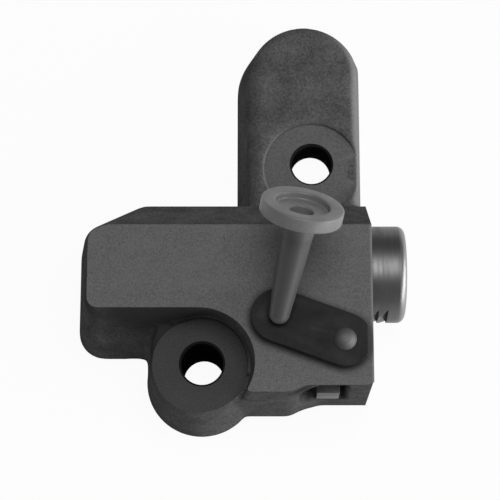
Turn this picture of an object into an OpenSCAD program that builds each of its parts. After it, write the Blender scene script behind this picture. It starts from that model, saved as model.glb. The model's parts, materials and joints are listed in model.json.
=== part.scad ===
// Ratchet chain tensioner: cast housing, spring plunger with a rack, pawl on a pivot
// shaft with a stop lever, check valve behind the plunger and a pull-out lock pin.
// The origin is the axis of the lower bolt hole on the mounting face (z = 0).
// +X is the way the plunger travels and +Z points away from the engine.

/* [Plunger] */
// Outer diameter of the plunger
plunger_d = 16; // [13:0.5:18]
// Length of the plunger
plunger_len = 40; // [36:0.5:44]
// How far the plunger stands out of the nose when it is pinned
plunger_out = 6.4; // [5:0.2:9]
// Diameter of the hole that takes the spring
plunger_hole_d = 10.4; // [9.6:0.1:11]
// Thickness of the closed end
plunger_end = 4; // [3:0.2:6]
// Radius of the rounded rim at the tip
tip_round = 1.2; // [0.6:0.1:2]
// Height of the domed tip
tip_dome = 0.5; // [0.2:0.1:1]
// Diameter of the bleed hole in the tip
bleed_d = 1.2; // [0.8:0.1:2]

/* [Rack] */
// Pitch of the rack teeth
rack_pitch = 1.5; // [1.2:0.1:1.8]
// Depth of the rack teeth
rack_depth = 0.9; // [0.6:0.1:1.2]
// Depth of the flat that the teeth are cut into
rack_land = 0.15; // [0.1:0.05:0.4]
// Smooth length between the tip and the first tooth
rack_start = 3.4; // [2.6:0.1:5]
// Teeth that the plunger can travel
travel_teeth = 10; // [6:1:11]

/* [Housing] */
// Plunger axis above the lower bolt, along Y
axis_y = 15.75; // [15:0.25:18]
// Plunger axis above the mounting face
axis_z = 11.5; // [11:0.25:14]
// Nose face from the lower bolt, along X
nose_x = 27.3; // [26:0.1:30]
// Oil room between the plunger's open end and the valve seat
oil_room = 3.4; // [1.5:0.1:6]
// Radial clearance of the plunger in its bore
bore_clearance = 0.03; // [0.01:0.01:0.1]
// Wall behind the bore, at the mounting face
back_wall = 7.7; // [6:0.1:10]
// Lean of the back wall from the mounting face to the plateau
back_draft = 3.2; // [1:0.05:4]
// Wall over the bore
roof_wall = 3.47; // [3:0.01:5]
// Wall beside the bore towards the upper lug, at the shoulder
lug_side_wall = 4.6; // [3:0.1:6]
// Wall beside the bore towards the lower bolt, at the waist
waist_wall = 1.3; // [1:0.05:2]
// Height of the waist above the plunger axis
waist_rise = 2; // [1:0.1:4]
// Height of the foot below the plunger axis
foot_drop = 2.5; // [1:0.1:4]
// Plateau edge from the plunger axis towards the upper lug
plateau_lug_side = 5.35; // [4:0.05:7]
// Plateau edge from the plunger axis towards the lower bolt
plateau_bolt_side = 8.2; // [7.5:0.05:9]
// Width of the sloping ledge between the waist and the foot
ledge = 1.8; // [1:0.1:3]
// Lean of the foot's side down to the mounting face
foot_draft = 0.8; // [0.2:0.1:1.5]
// Slanted corner at the back, along X at the shoulder
corner_run = 10; // [7:0.1:12]
// Slanted corner at the back, along Y at the shoulder
corner_fall = 4.6; // [2:0.1:6]
// Slanted corner at the back, along X at the plateau
plateau_run = 2.6; // [1.5:0.1:5]
// Radius between the slanted corner and the walls
corner_round = 3.5; // [1:0.25:5]
// Radius of the foot's corner
foot_round = 4.5; // [1:0.25:5]
// Radius of the plateau's corners
plateau_round = 1.6; // [0.6:0.1:2.5]

/* [Bolt bosses] */
// Bolt hole diameter
bolt_d = 6.8; // [5.5:0.1:8.5]
// Diameter of the lower bolt's seat
seat_d = 15; // [14:0.1:16]
// Spread of the lower seat's wall up to the plateau
seat_spread = 1.1; // [0.3:0.1:1.5]
// Middle of that wall from the lower bolt, along Y
seat_wall_y = -1.2; // [-1.5:0.1:0]
// Diameter of the upper bolt's seat
lug_seat_d = 16.2; // [14:0.1:17]
// Height of the lower bolt's seat
lower_seat_z = 15; // [13:0.25:17]
// Least wall left around the plunger bore by the lower seat
least_wall = 0.7; // [0.5:0.05:1.5]
// Rim around the lower seat, on the free side of the boss
boss_rim = 0.35; // [0.1:0.05:1]
// Lean of the lower boss from the seat to the mounting face
boss_draft = 1.5; // [0.4:0.1:2.5]
// Middle of the lower boss from its bolt, along X
boss_x = -0.35; // [-0.6:0.05:0.6]
// Middle of the lower boss from its bolt, along Y
boss_y = -0.2; // [-0.6:0.05:0.6]
// Upper bolt from the lower bolt, along X
upper_x = 18.3; // [16:0.1:19]
// Upper bolt from the lower bolt, along Y
upper_y = 36.4; // [35:0.1:40]
// Height of the lug's flat face
lug_z = 8; // [7:0.25:9]
// Depth of the seat sunk in the lug
lug_seat_depth = 1; // [0.6:0.1:2]
// Radius of the lug's round end on its flat face
lug_r = 8.1; // [7:0.1:9]
// Lug length beyond the upper bolt
lug_beyond = 24; // [20:0.2:28]
// Middle of the lug from the upper bolt, along X
lug_shift = 1.2; // [0.5:0.1:2]
// Spread of the lug's foot on the outer side
lug_spread_left = 3.5; // [1:0.1:5]
// Spread of the lug's foot on the nose side
lug_spread_right = 1.85; // [0.6:0.05:3]
// Square corner of the lug's foot at its round end, on the nose side
lug_corner = 1.8; // [0:0.1:3]
// Eased edge around the lug's flat face
lug_edge = 1.2; // [0.4:0.1:1.4]
// Setback of the lug's foot at its round end
lug_foot_back = 1.3; // [0:0.1:2]
// Middle of the upper seat below its bolt, along Y
lug_seat_low = 0.9; // [0:0.1:1.2]
// Chamfer on the bolt holes
hole_chamfer = 0.35; // [0.2:0.05:0.8]

/* [Ratchet] */
// Pivot shaft back from the nose face
pivot_back = 4.6; // [4.4:0.1:6]
// Pivot shaft from the plunger axis
pivot_drop = 13.8; // [13.2:0.1:15]
// Pivot shaft diameter
shaft_d = 3.2; // [2.6:0.1:3.6]
// Running clearance of the shaft and the lock pin in their bores
shaft_clearance = 0.04; // [0.02:0.01:0.08]
// Flat of the keyed shaft from its axis
key_flat = 1.15; // [0.9:0.05:1.25]
// Radius of the pawl's hub
hub_r = 2.5; // [2.3:0.1:2.9]
// Height of the pawl's toothed arm
pawl_h = 7; // [5:0.25:8]
// Height of the pawl's hub below the arm
hub_drop = 3; // [2:0.25:3.5]
// Number of pawl teeth
pawl_teeth = 2; // [1:1:2]
// Far end of the pawl's teeth from the pivot, along X
pawl_reach = 5.2; // [4.6:0.1:5.6]
// Gap between the pawl's teeth and the plunger while the lever is pinned
pawl_gap = 0.35; // [0.25:0.05:0.6]
// Outer side of the pawl's tail from the pivot, along X
tail_side = 3.9; // [3.4:0.1:4.4]
// Width of the pawl's tail
tail_w = 3.7; // [2:0.1:4]
// Height of the pawl's tail
tail_h = 5.3; // [3:0.1:6]
// Length of the pawl's tail below the pivot
tail_len = 5.9; // [4.5:0.1:6.2]
// Room around the moving pawl
pawl_room = 1; // [0.9:0.05:1.4]
// Room in the pocket above the pawl
pocket_room = 3.4; // [1.5:0.1:3.8]
// Radius of the pocket's rounded end at its roof
pocket_round = 4; // [1.5:0.25:5]
// Radius of the pocket's rounded end at its floor
floor_round = 2; // [1:0.25:2.5]
// Block below the pivot, at the pocket
block_below = 6.9; // [6.6:0.1:8]
// Depth of the relief in the block's side, from the pocket to the nose
relief = 0.8; // [0.3:0.1:1.2]
// Length over which the relief runs in
relief_run = 3; // [1:0.1:5]
// Plateau overhang above that relief
relief_roof = 1.2; // [0.8:0.1:6]
// Step from the pocket to the thicker part of the block
block_step = 1.1; // [0.5:0.05:2]
// Step from the pocket's rounded end, along X
step_back = 0.3; // [0:0.1:2]
// Radius of the rounding at the step
step_round = 3; // [0.5:0.25:5]

/* [Stop lever] */
// Lever thickness
lever_t = 1.7; // [1.2:0.1:2.5]
// Radius of the lever's ends
lever_r = 4.25; // [3.8:0.05:4.6]
// Distance between the centres of the lever's ends
lever_len = 11.2; // [10.5:0.1:13]
// Angle of the lever from -X
lever_angle = 20.3; // [15:0.1:25]
// Flat end of the lever from the pivot, along X
lever_flat = 3.55; // [3.3:0.05:4]
// Gap under the lever
lever_gap = 0.4; // [0.3:0.05:0.8]
// Swing of the lever from the lock pin to its stop
lever_swing = 8; // [5:0.5:10]
// Diameter of the rivet shank through the lever
shank_d = 2.6; // [2:0.1:2.8]
// Diameter of the rivet's domed head
rivet_d = 3.7; // [3.3:0.1:4.5]
// Height of the rivet's domed head
rivet_h = 1.2; // [0.8:0.1:1.6]
// Foot of the shaft above the mounting face
shaft_foot = 0.6; // [0.3:0.1:1]
// Depth of the clip's groove in the shaft
groove_depth = 0.48; // [0.3:0.02:0.6]
// Thickness of the retaining clip
clip_t = 0.6; // [0.4:0.05:0.8]
// Outer diameter of the retaining clip
clip_d = 6.4; // [5.6:0.1:7]
// Width of the clip's open mouth
clip_mouth = 1.8; // [1.2:0.1:2]
// Room around the clip in its recess
clip_room = 1; // [0.6:0.1:1.5]
// Depth of the recess for the clip in the mounting face
clip_recess = 2.4; // [2:0.1:3]

/* [Lock pin] */
// Lock pin from the pivot shaft
pin_reach = 10.95; // [10:0.05:11.2]
// Angle of the lock pin about the pivot, from -X
pin_angle = 19.4; // [17:0.1:20]
// Diameter of the lock pin's stub
stub_d = 2.6; // [2:0.1:2.8]
// Depth of the stub in the housing
stub_depth = 7; // [4:0.25:8]
// Lean of the lock pin's stem from +Z
pin_lean = 51.6; // [30:0.1:56]
// Heading of the lean, from +X
pin_heading = 76.4; // [70:0.1:90]
// Diameter of the stem at its foot
stem_d = 3.3; // [3:0.1:3.8]
// Diameter of the stem under the head
stem_top_d = 5.6; // [4:0.1:6.5]
// Length of the stem from its bend to the head
stem_len = 16.8; // [15:0.1:21]
// Head diameter
head_d = 12.9; // [11:0.1:15]
// Head thickness
head_t = 2.3; // [1.8:0.1:3]
// Diameter of the dish in the head
dish_d = 8.4; // [6:0.1:9]
// Depth of the dish
dish_depth = 1.2; // [0.6:0.1:1.5]
// Diameter of the blind hole in the dish
dish_hole_d = 3.6; // [2.4:0.1:4]
// Depth of the blind hole below the dish
dish_hole_depth = 3; // [1.5:0.25:5]

/* [Check valve and springs] */
// Thickness of the valve seat
valve_t = 4; // [3:0.25:5]
// Diameter of the port through the valve seat
port_d = 2.6; // [2:0.1:3]
// Diameter of the check ball
ball_d = 4.5; // [4:0.1:5]
// Mouth diameter of the ball's cone
cone_d = 4.8; // [4.4:0.1:5.2]
// Lift of the ball
ball_lift = 0.6; // [0.4:0.1:0.9]
// Wall of the ball cage
cage_wall = 0.5; // [0.4:0.05:0.7]
// Room for the ball spring over the lifted ball
cage_room = 0.9; // [0.7:0.1:1.4]
// Width of the oil windows in the ball cage
window_w = 2.2; // [1.6:0.1:3]
// Rim of the ball cage that the spring stands on
cage_rim_d = 9.6; // [9:0.1:10.2]
// Mean diameter of the ball spring
ball_spring_d = 2.5; // [2:0.1:3]
// Wire of the ball spring
ball_wire = 0.3; // [0.2:0.05:0.4]
// Turns of the ball spring
ball_spring_turns = 2; // [2:1:3]
// Wire of the plunger spring
spring_wire = 1.4; // [1:0.1:1.6]
// Mean diameter of the plunger spring
spring_d = 8.1; // [7.8:0.1:8.2]
// Turns of the plunger spring
spring_turns = 9; // [7:1:11]
// Wire of the lever spring
lever_wire = 0.6; // [0.4:0.05:0.7]
// Mean diameter of the lever spring
lever_spring_d = 5; // [4.6:0.1:5.4]
// Turns of the lever spring
lever_spring_turns = 3; // [2:1:4]
// Pitch of the lever spring's turns
lever_pitch = 0.78; // [0.75:0.01:0.9]
// Thickness of the vent disc
vent_t = 1.5; // [1:0.1:2.5]
// Diameter of the oil feed hole
feed_d = 3.6; // [3:0.1:4.5]
// Feed hole behind the bottom of the plunger bore
feed_back = 2.1; // [2:0.1:3]

/* [Hidden] */
$fn = 64;

// Small overlap of cuts past a face
over = 0.5;
// Overlap of a chamfer past its face
slab = 0.01;
// Gap between pieces that lie against each other
seat_gap = 0.02;
// Room at a spring's ends and around the ball
spring_gap = 0.1;
// Room around the lever spring in its hole
coil_room = 0.3;
// Gap beside the pawl's tail at the end of its swing
tail_gap = 0.2;
// Angle at which the back of the pawl's arm meets the hub
heel_angle = 75;
// Largest share of a side that one fillet takes
fillet_share = 0.49;
// Points on a rounded corner
corner_steps = 6;
// Angle between the points of the lug's round end
lug_step = 6;

// Plunger and bore
bore_r = plunger_d / 2 + bore_clearance;
tip_x = nose_x + plunger_out;
plunger_tail_x = tip_x - plunger_len;
plunger_floor_x = tip_x - plunger_end;
bore_depth = plunger_len - plunger_out + oil_room + valve_t;
bore_end_x = nose_x - bore_depth;
travel = travel_teeth * rack_pitch;

// Housing outlines
plateau_z = axis_z + bore_r + roof_wall;
back_x = bore_end_x - back_wall;
shoulder_y = axis_y + bore_r + lug_side_wall;
plateau_y = axis_y + plateau_lug_side;
plateau_low_y = axis_y - plateau_bolt_side;
waist_z = axis_z + waist_rise;
waist_y = axis_y - bore_r - waist_wall;
foot_z = axis_z - foot_drop;
foot_y = waist_y - ledge;
// Back and lug-side edges of the barrel at height z, and the slanted corner between them
function back_at(z) = back_x + back_draft * z / plateau_z;
function side_at(z) = shoulder_y + (plateau_y - shoulder_y) * rise_at(z);
function cut_at(z) = (1 + (plateau_run / corner_run - 1) * rise_at(z)) * [corner_run, corner_fall];
// Share of the way from the shoulder, which is as high as the foot, to the plateau
function rise_at(z) = max(0, z - foot_z) / (plateau_z - foot_z);

// Ratchet
pivot = [nose_x - pivot_back, axis_y - pivot_drop];
lever_z = plateau_z + lever_gap;
lever_top = lever_z + lever_t;
arm_z = axis_z - pawl_h / 2;
hub_z = arm_z - hub_drop;
arm_top = axis_z + pawl_h / 2;
pocket_z = hub_z - seat_gap;
pocket_top = arm_top + pocket_room;
pocket_x = pivot[0] - pawl_reach - pawl_room - travel_of(pawl_reach);
pocket_right_x = pivot[0] - tail_side + tail_w + travel_of(tail_len) + tail_gap;
pawl_tip_y = axis_y - plunger_d / 2 - pawl_gap - pivot[1];
pawl_x = pivot[0] - pawl_reach + pawl_teeth * rack_pitch;

block_y = pivot[1] - block_below;
spring_hole_r = lever_spring_d / 2 + lever_wire / 2 + coil_room;
spring_hole_z = plateau_z - lever_spring_turns * lever_pitch - lever_wire;

// Lock pin
pin_xy = pivot + pin_reach * [-cos(pin_angle), sin(pin_angle)];
bend_z = lever_top + stem_d / 2 + spring_gap;

// Rack: the first tooth starts behind the smooth tip, the last one is still past the
// pawl when the plunger is fully out
rack_end_x = tip_x - rack_start;
rack_count = ceil((rack_end_x - (pawl_x - travel)) / rack_pitch) + pawl_teeth;
rack_tip_y = axis_y - plunger_d / 2 + rack_land;

// Check valve
valve_face_x = bore_end_x + valve_t;
ball_x = valve_face_x + ball_d / 2 * sqrt(2) - cone_d / 2 + seat_gap * sqrt(2);
cage_r = ball_d / 2 + spring_gap * 2;
cage_roof_x = ball_x + ball_d / 2 + ball_lift + cage_room;

// Distance that a point at radius r moves over the lever's swing
function travel_of(r) = r * lever_swing * PI / 180;

function unit(v) = v / norm(v);
function wrap(a) = a > 180 ? a - 360 : a <= -180 ? a + 360 : a;

// Points of the fillet of radius r at corner b between a and c
function fillet(a, b, c, r) =
    let (u = unit(a - b), v = unit(c - b), half = acos(u * v) / 2)
    let (run = min(r / tan(half), norm(a - b) * fillet_share, norm(c - b) * fillet_share))
    let (centre = b + unit(u + v) * run / cos(half))
    let (from = b + u * run - centre, to = b + v * run - centre)
    let (start = atan2(from[1], from[0]), sweep = wrap(atan2(to[1], to[0]) - start))
    [for (i = [0 : corner_steps])
        let (turn = start + sweep * i / corner_steps)
        centre + norm(from) * [cos(turn), sin(turn)]];

// Outline with a fillet of radius r[i] at each corner p[i]
function rounded(p, r) =
    [for (i = [0 : len(p) - 1]) let (n = len(p))
        each r[i] == 0 ? [p[i]] : fillet(p[(i + n - 1) % n], p[i], p[(i + 1) % n], r[i])];

// Drafted solid through outlines that have the same number of points, one at each height
module loft(outlines, heights) {
    n = len(outlines[0]);
    last = len(outlines) - 1;
    points = [for (i = [0 : last], p = outlines[i]) [p[0], p[1], heights[i]]];
    sides = [for (i = [0 : last - 1], k = [0 : n - 1])
        let (a = i * n + k, b = i * n + (k + 1) % n)
        each [[a, a + n, b], [b, a + n, b + n]]];
    foot = [for (k = [0 : n - 1]) k];
    head = [for (k = [n - 1 : -1 : 0]) last * n + k];
    polyhedron(points, concat([foot], [head], sides), convexity = 6);
}

// Turns a shape made along +Z to run along +X on the plunger axis, from x
module along_x(x) {
    translate([x, axis_y, axis_z])
        rotate([90, 0, 90])
            children();
}

// Places a shape on the pivot axis
module on_pivot(z) {
    translate([pivot[0], pivot[1], z])
        children();
}

// Coil of round wire along +Z from z = 0 to z = height, with an optional straight end
module coil(mean_d, wire, turns, height, sides, steps, leg_up = 0) {
    path = concat(
        [for (i = [0 : turns * steps])
            let (a = 360 * i / steps)
            [mean_d / 2 * cos(a), mean_d / 2 * sin(a), wire / 2 + (height - wire) * i / (turns * steps)]],
        leg_up > 0 ? [[mean_d / 2, 0, height - wire / 2 + leg_up]] : []);
    sweep_tube(path, wire / 2, sides);
}

// Round tube along a path, each ring square to the run of the path
module sweep_tube(path, r, sides) {
    n = len(path);
    rings = [for (i = [0 : n - 1])
        let (t = unit(path[min(i + 1, n - 1)] - path[max(i - 1, 0)]))
        let (out = unit([path[i][0], path[i][1], 0]))
        let (side = unit(out - t * (out * t)), up = cross(t, side))
        [for (k = [0 : sides - 1])
            path[i] + r * (cos(360 * k / sides) * side + sin(360 * k / sides) * up)]];
    points = [for (ring = rings) each ring];
    skin = [for (i = [0 : n - 2], k = [0 : sides - 1])
        let (a = i * sides + k, b = i * sides + (k + 1) % sides)
        [a, b, b + sides, a + sides]];
    cap_a = [for (k = [sides - 1 : -1 : 0]) k];
    cap_b = [for (k = [0 : sides - 1]) (n - 1) * sides + k];
    polyhedron(points, concat([cap_a], [cap_b], skin), convexity = 10);
}

// Outline of the barrel at height z, with its edge towards the lower bolt at low
function barrel_outline(z, low, low_r) =
    let (back = back_at(z), side = side_at(z), cut = cut_at(z))
    rounded(
        [[back, low], [nose_x, low], [nose_x, side], [back + cut[0], side], [back, side - cut[1]]],
        [low_r, 0, 0, corner_round, corner_round]);

// Outline of the upper lug: foot inside the barrel, round end of radius r about x and end_y,
// filled out to a corner on the nose side
function lug_outline(x, r, end_y, corner = 0) =
    concat([[x - r, axis_y], [x + r, axis_y]],
        [for (a = [0 : lug_step : 180])
            let (grown = a < 90 ? r + corner : r)
            [x + min(r, grown * cos(a)), end_y + r * sin(a)]]);

// Barrel in three drafted lifts: foot, sloping ledge and upper wall
module barrel() {
    loft([barrel_outline(0, foot_y - foot_draft, foot_round),
        barrel_outline(foot_z, foot_y, foot_round),
        barrel_outline(waist_z, waist_y, foot_round),
        barrel_outline(plateau_z, plateau_low_y, plateau_round)],
        [0, foot_z, waist_z, plateau_z]);
}

module upper_lug() {
    top_x = upper_x - lug_shift;
    foot_x = top_x + (lug_spread_right - lug_spread_left) / 2;
    foot_r = lug_r + (lug_spread_left + lug_spread_right) / 2;
    end_y = upper_y + lug_beyond - lug_r;
    loft([lug_outline(foot_x, foot_r, end_y - lug_foot_back, lug_corner),
        lug_outline(top_x, lug_r + lug_edge, end_y), lug_outline(top_x, lug_r, end_y)],
        [0, lug_z - lug_edge, lug_z]);
}

module lower_boss() {
    translate([boss_x, boss_y, 0])
        cylinder(h = lower_seat_z, r1 = seat_d / 2 + boss_rim + boss_draft, r2 = seat_d / 2 + boss_rim);
}

// Block beside the barrel that carries the pawl, the lever and the lock pin
module ratchet_block() {
    step_x = pocket_x - step_back;
    relief_x = step_x + block_step;
    difference() {
        linear_extrude(plateau_z)
            polygon(rounded(
                [[0, axis_y], [0, block_y - block_step], [step_x - block_step, block_y - block_step],
                    [relief_x, block_y], [nose_x, block_y], [nose_x, axis_y]],
                [0, 0, step_round, step_round, plateau_round / 2, 0]));
        translate([0, seat_wall_y, lower_seat_z])
            cylinder(h = plateau_z - lower_seat_z + slab, r1 = seat_d / 2 + boss_rim,
                r2 = seat_d / 2 + seat_spread);
        translate([0, 0, -over])
            linear_extrude(plateau_z - relief_roof + over)
                polygon(rounded(
                    [[relief_x, block_y - over], [relief_x, block_y],
                        [relief_x + relief_run, block_y + relief],
                        [nose_x + over, block_y + relief], [nose_x + over, block_y - over]],
                    [0, 0, step_round, 0, 0]));
    }
}

// Pocket for the pawl, open to the bore and to the side of the block
module pawl_pocket() {
    translate([0, axis_y, 0])
        rotate([90, 0, 0])
            linear_extrude(axis_y - block_y + block_step + over)
                polygon(rounded(
                    [[pocket_x, pocket_z], [pocket_right_x, pocket_z], [pocket_right_x, pocket_top],
                        [pocket_x, pocket_top]],
                    [floor_round, 0, 0, pocket_round]));
    translate([pocket_x + pocket_round, pivot[1], pocket_z])
        cube([pivot[0] + pawl_room - pocket_x - pocket_round, axis_y - pivot[1], pocket_top - pocket_z]);
    on_pivot(pocket_z)
        cylinder(h = pocket_top - pocket_z, r = hub_r + pawl_room / 2);
}

// Bolt hole from the mounting face to a seat at height z, chamfered at the seat
module bolt_hole(x, y, z) {
    translate([x, y, -over])
        cylinder(h = z + 2 * over, d = bolt_d);
    translate([x, y, z - hole_chamfer])
        cylinder(h = hole_chamfer + slab, d1 = bolt_d, d2 = bolt_d + 2 * hole_chamfer);
}

// Room over the lower seat, kept off the plunger bore by the least wall
module lower_seat_cut() {
    difference() {
        translate([0, 0, lower_seat_z])
            cylinder(h = plateau_z, d = seat_d);
        along_x(bore_end_x)
            cylinder(h = bore_depth, r = bore_r + least_wall);
    }
}

module housing() {
    color("dimgray")
        difference() {
            union() {
                barrel();
                upper_lug();
                lower_boss();
                ratchet_block();
            }
            bolt_hole(0, 0, lower_seat_z);
            bolt_hole(upper_x, upper_y, lug_z - lug_seat_depth);
            lower_seat_cut();
            translate([upper_x, upper_y - lug_seat_low, lug_z - lug_seat_depth])
                cylinder(h = plateau_z, d = lug_seat_d);
            along_x(bore_end_x)
                cylinder(h = bore_depth + over, r = bore_r);
            along_x(bore_end_x - feed_back - feed_d / 2 - over)
                cylinder(h = feed_back + feed_d / 2 + 2 * over, d = feed_d + over);
            translate([bore_end_x - feed_back, axis_y, -over])
                cylinder(h = axis_z + over, d = feed_d);
            pawl_pocket();
            on_pivot(-over)
                cylinder(h = plateau_z + 2 * over, d = shaft_d + 2 * shaft_clearance);
            on_pivot(spring_hole_z)
                cylinder(h = plateau_z, r = spring_hole_r);
            on_pivot(-over)
                cylinder(h = clip_recess + over, d = clip_d + 2 * clip_room);
            translate([pin_xy[0], pin_xy[1], plateau_z - stub_depth - over])
                cylinder(h = stub_depth + 2 * over, d = stub_d + 2 * shaft_clearance);
        }
}

// Half section of the plunger, from its open end (y = 0) to its tip
module plunger_profile() {
    r = plunger_d / 2;
    rim = plunger_len - tip_dome;
    floor_y = plunger_len - plunger_end;
    polygon(rounded(
        [[plunger_hole_d / 2, 0], [r, 0], [r, rim], [bleed_d / 2, plunger_len], [bleed_d / 2, floor_y],
            [plunger_hole_d / 2, floor_y]],
        [0, 0, tip_round, 0, 0, 0]));
}

// Saw teeth along the plunger's side: each stands up square and slopes away towards the tip
module rack_cut() {
    root_y = rack_tip_y + rack_depth;
    first_x = rack_end_x - rack_count * rack_pitch;
    translate([0, 0, axis_z - plunger_d / 2])
        linear_extrude(plunger_d)
            polygon(concat(
                [[first_x, axis_y - plunger_d]],
                [for (i = [0 : rack_count - 1], tip = [1, 0])
                    [first_x + rack_pitch * (i + 1 - tip), tip == 1 ? rack_tip_y : root_y]],
                [[rack_end_x, axis_y - plunger_d]]));
}

module plunger() {
    color("silver")
        difference() {
            along_x(plunger_tail_x)
                rotate_extrude()
                    plunger_profile();
            rack_cut();
        }
}

module vent_disc() {
    color("ivory")
        along_x(plunger_floor_x - vent_t)
            difference() {
                cylinder(h = vent_t - seat_gap, d = plunger_hole_d - 2 * spring_gap);
                translate([0, 0, -over])
                    cylinder(h = vent_t + 2 * over, d = bleed_d);
            }
}

module plunger_spring() {
    foot_x = valve_face_x + cage_wall + 2 * seat_gap;
    color("lightsteelblue")
        along_x(foot_x)
            coil(spring_d, spring_wire, spring_turns, plunger_floor_x - vent_t - seat_gap - foot_x, 8, 24);
}

module valve_seat() {
    color("gainsboro")
        along_x(bore_end_x + seat_gap)
            difference() {
                cylinder(h = valve_t - seat_gap, r = bore_r - seat_gap);
                translate([0, 0, -over])
                    cylinder(h = valve_t + over, d = port_d);
                translate([0, 0, valve_t - seat_gap - (cone_d - port_d) / 2])
                    cylinder(h = (cone_d - port_d) / 2 + slab, d1 = port_d, d2 = cone_d + 2 * slab);
            }
}

module check_ball() {
    color("white")
        along_x(ball_x)
            sphere(d = ball_d);
}

// Cup over the ball with a rim on the valve seat and oil windows in its wall
module ball_cage() {
    height = cage_roof_x - valve_face_x + cage_wall;
    color("lightgray")
        along_x(valve_face_x + seat_gap)
            difference() {
                union() {
                    cylinder(h = cage_wall, d = cage_rim_d);
                    cylinder(h = height, r = cage_r + cage_wall);
                }
                translate([0, 0, -over])
                    cylinder(h = height - cage_wall + over, r = cage_r);
                for (a = [0 : 120 : 240])
                    rotate(a)
                        translate([0, -window_w / 2, cage_wall * 2])
                            cube([cage_rim_d, window_w, height - cage_wall * 4]);
            }
}

// Light spring between the ball and the cage's roof
module ball_spring() {
    reach = ball_d / 2 + ball_wire / 2 + spring_gap / 2;
    foot_x = ball_x + sqrt(pow(reach, 2) - pow(ball_spring_d / 2, 2)) - ball_wire / 2;
    color("lightsteelblue")
        along_x(foot_x)
            coil(ball_spring_d, ball_wire, ball_spring_turns, cage_roof_x - foot_x - spring_gap / 2, 6, 16);
}

// Section of the shaft with the flat that turns the pawl, grown by a gap
module shaft_section(gap = 0) {
    intersection() {
        circle(shaft_d / 2 + gap);
        translate([-shaft_d, -shaft_d])
            square([shaft_d + key_flat + gap, 2 * shaft_d]);
    }
}

// Toothed arm, seen along the shaft, with the tips towards the rack
module pawl_arm() {
    root_y = pawl_tip_y - rack_depth;
    heel_x = -pawl_reach + pawl_teeth * rack_pitch;
    polygon(concat(
        [[-hub_r, 0], [-pawl_reach, root_y - hub_r]],
        [for (i = [0 : pawl_teeth - 1], tip = [0, 1])
            [-pawl_reach + rack_pitch * (i + tip), tip == 1 ? pawl_tip_y : root_y]],
        [[heel_x, root_y], hub_r * [cos(heel_angle), sin(heel_angle)], [0, 0]]));
}

module pawl() {
    color("silver")
        on_pivot(0)
            difference() {
                union() {
                    translate([0, 0, arm_z])
                        linear_extrude(pawl_h)
                            pawl_arm();
                    translate([0, 0, hub_z])
                        cylinder(h = arm_top - hub_z, r = hub_r);
                    translate([-tail_side, -tail_len, hub_z])
                        cube([tail_w, tail_len, tail_h]);
                }
                translate([0, 0, hub_z - over])
                    linear_extrude(arm_top - hub_z + 2 * over)
                        shaft_section(seat_gap);
            }
}

// Shaft riveted into the lever: keyed foot, round journal, shank and domed head
module pivot_shaft() {
    color("silver")
        on_pivot(0)
            difference() {
                union() {
                    translate([0, 0, shaft_foot])
                        linear_extrude(arm_top - shaft_foot)
                            shaft_section();
                    translate([0, 0, arm_top])
                        cylinder(h = lever_z - seat_gap - arm_top, d = shaft_d);
                    translate([0, 0, arm_top])
                        cylinder(h = lever_top + seat_gap - arm_top, d = shank_d);
                    translate([0, 0, lever_top + seat_gap])
                        rivet_head();
                }
                translate([0, 0, clip_recess - clip_t - 2 * seat_gap])
                    difference() {
                        cylinder(h = clip_t + 2 * seat_gap, d = shaft_d + over);
                        translate([0, 0, -over])
                            cylinder(h = clip_t + 2 * over, d = shaft_d - 2 * groove_depth);
                    }
            }
}

// Domed head as a slice of a sphere
module rivet_head() {
    dome_r = (pow(rivet_d / 2, 2) + pow(rivet_h, 2)) / (2 * rivet_h);
    intersection() {
        translate([0, 0, rivet_h - dome_r])
            sphere(dome_r);
        cylinder(h = rivet_h + over, d = rivet_d);
    }
}

// Lever plate seen from above, about the pivot
module lever_outline() {
    circle(lever_r);
    translate([-lever_len, 0])
        circle(lever_r);
    translate([-lever_len, -lever_r])
        square([lever_len, 2 * lever_r]);
}

// Arc slot about the pivot that lets the lever swing away from the lock pin
module pin_slot() {
    slot_r = stub_d / 2 + shaft_clearance * 2;
    rotate(180 - pin_angle - lever_swing)
        rotate_extrude(angle = lever_swing)
            translate([pin_reach - slot_r, -over])
                square([2 * slot_r, lever_t + 2 * over]);
    for (a = [0, lever_swing])
        rotate(180 - pin_angle - a)
            translate([pin_reach, 0, -over])
                cylinder(h = lever_t + 2 * over, r = slot_r);
}

module stop_lever() {
    color("darkslategray")
        on_pivot(lever_z)
            difference() {
                rotate(-lever_angle)
                    linear_extrude(lever_t)
                        lever_outline();
                translate([lever_flat, -lever_len, -over])
                    cube([lever_len, 2 * lever_len, lever_t + 2 * over]);
                translate([0, 0, -over])
                    cylinder(h = lever_t + 2 * over, d = shank_d + 2 * seat_gap);
                pin_slot();
                translate([lever_spring_d / 2, 0, -over])
                    cylinder(h = lever_t / 2 + over, d = lever_wire + 4 * spring_gap);
            }
}

// Torsion coil round the shaft: its foot stands in the housing, its head in the lever
module lever_spring() {
    color("lightsteelblue")
        on_pivot(spring_hole_z + seat_gap)
            coil(lever_spring_d, lever_wire, lever_spring_turns,
                plateau_z - spring_hole_z - lever_wire, 6, 20,
                leg_up = lever_wire + lever_gap + lever_t / 2 - spring_gap * 2);
}

// Open ring in the groove at the foot of the shaft
module retaining_clip() {
    hole_d = shaft_d - 2 * groove_depth + 2 * seat_gap;
    color("gray")
        on_pivot(clip_recess - clip_t - seat_gap)
            difference() {
                cylinder(h = clip_t, d = clip_d);
                translate([0, 0, -over])
                    cylinder(h = clip_t + 2 * over, d = hole_d);
                translate([0, -clip_mouth / 2, -over])
                    cube([clip_d, clip_mouth, clip_t + 2 * over]);
            }
}

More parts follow.
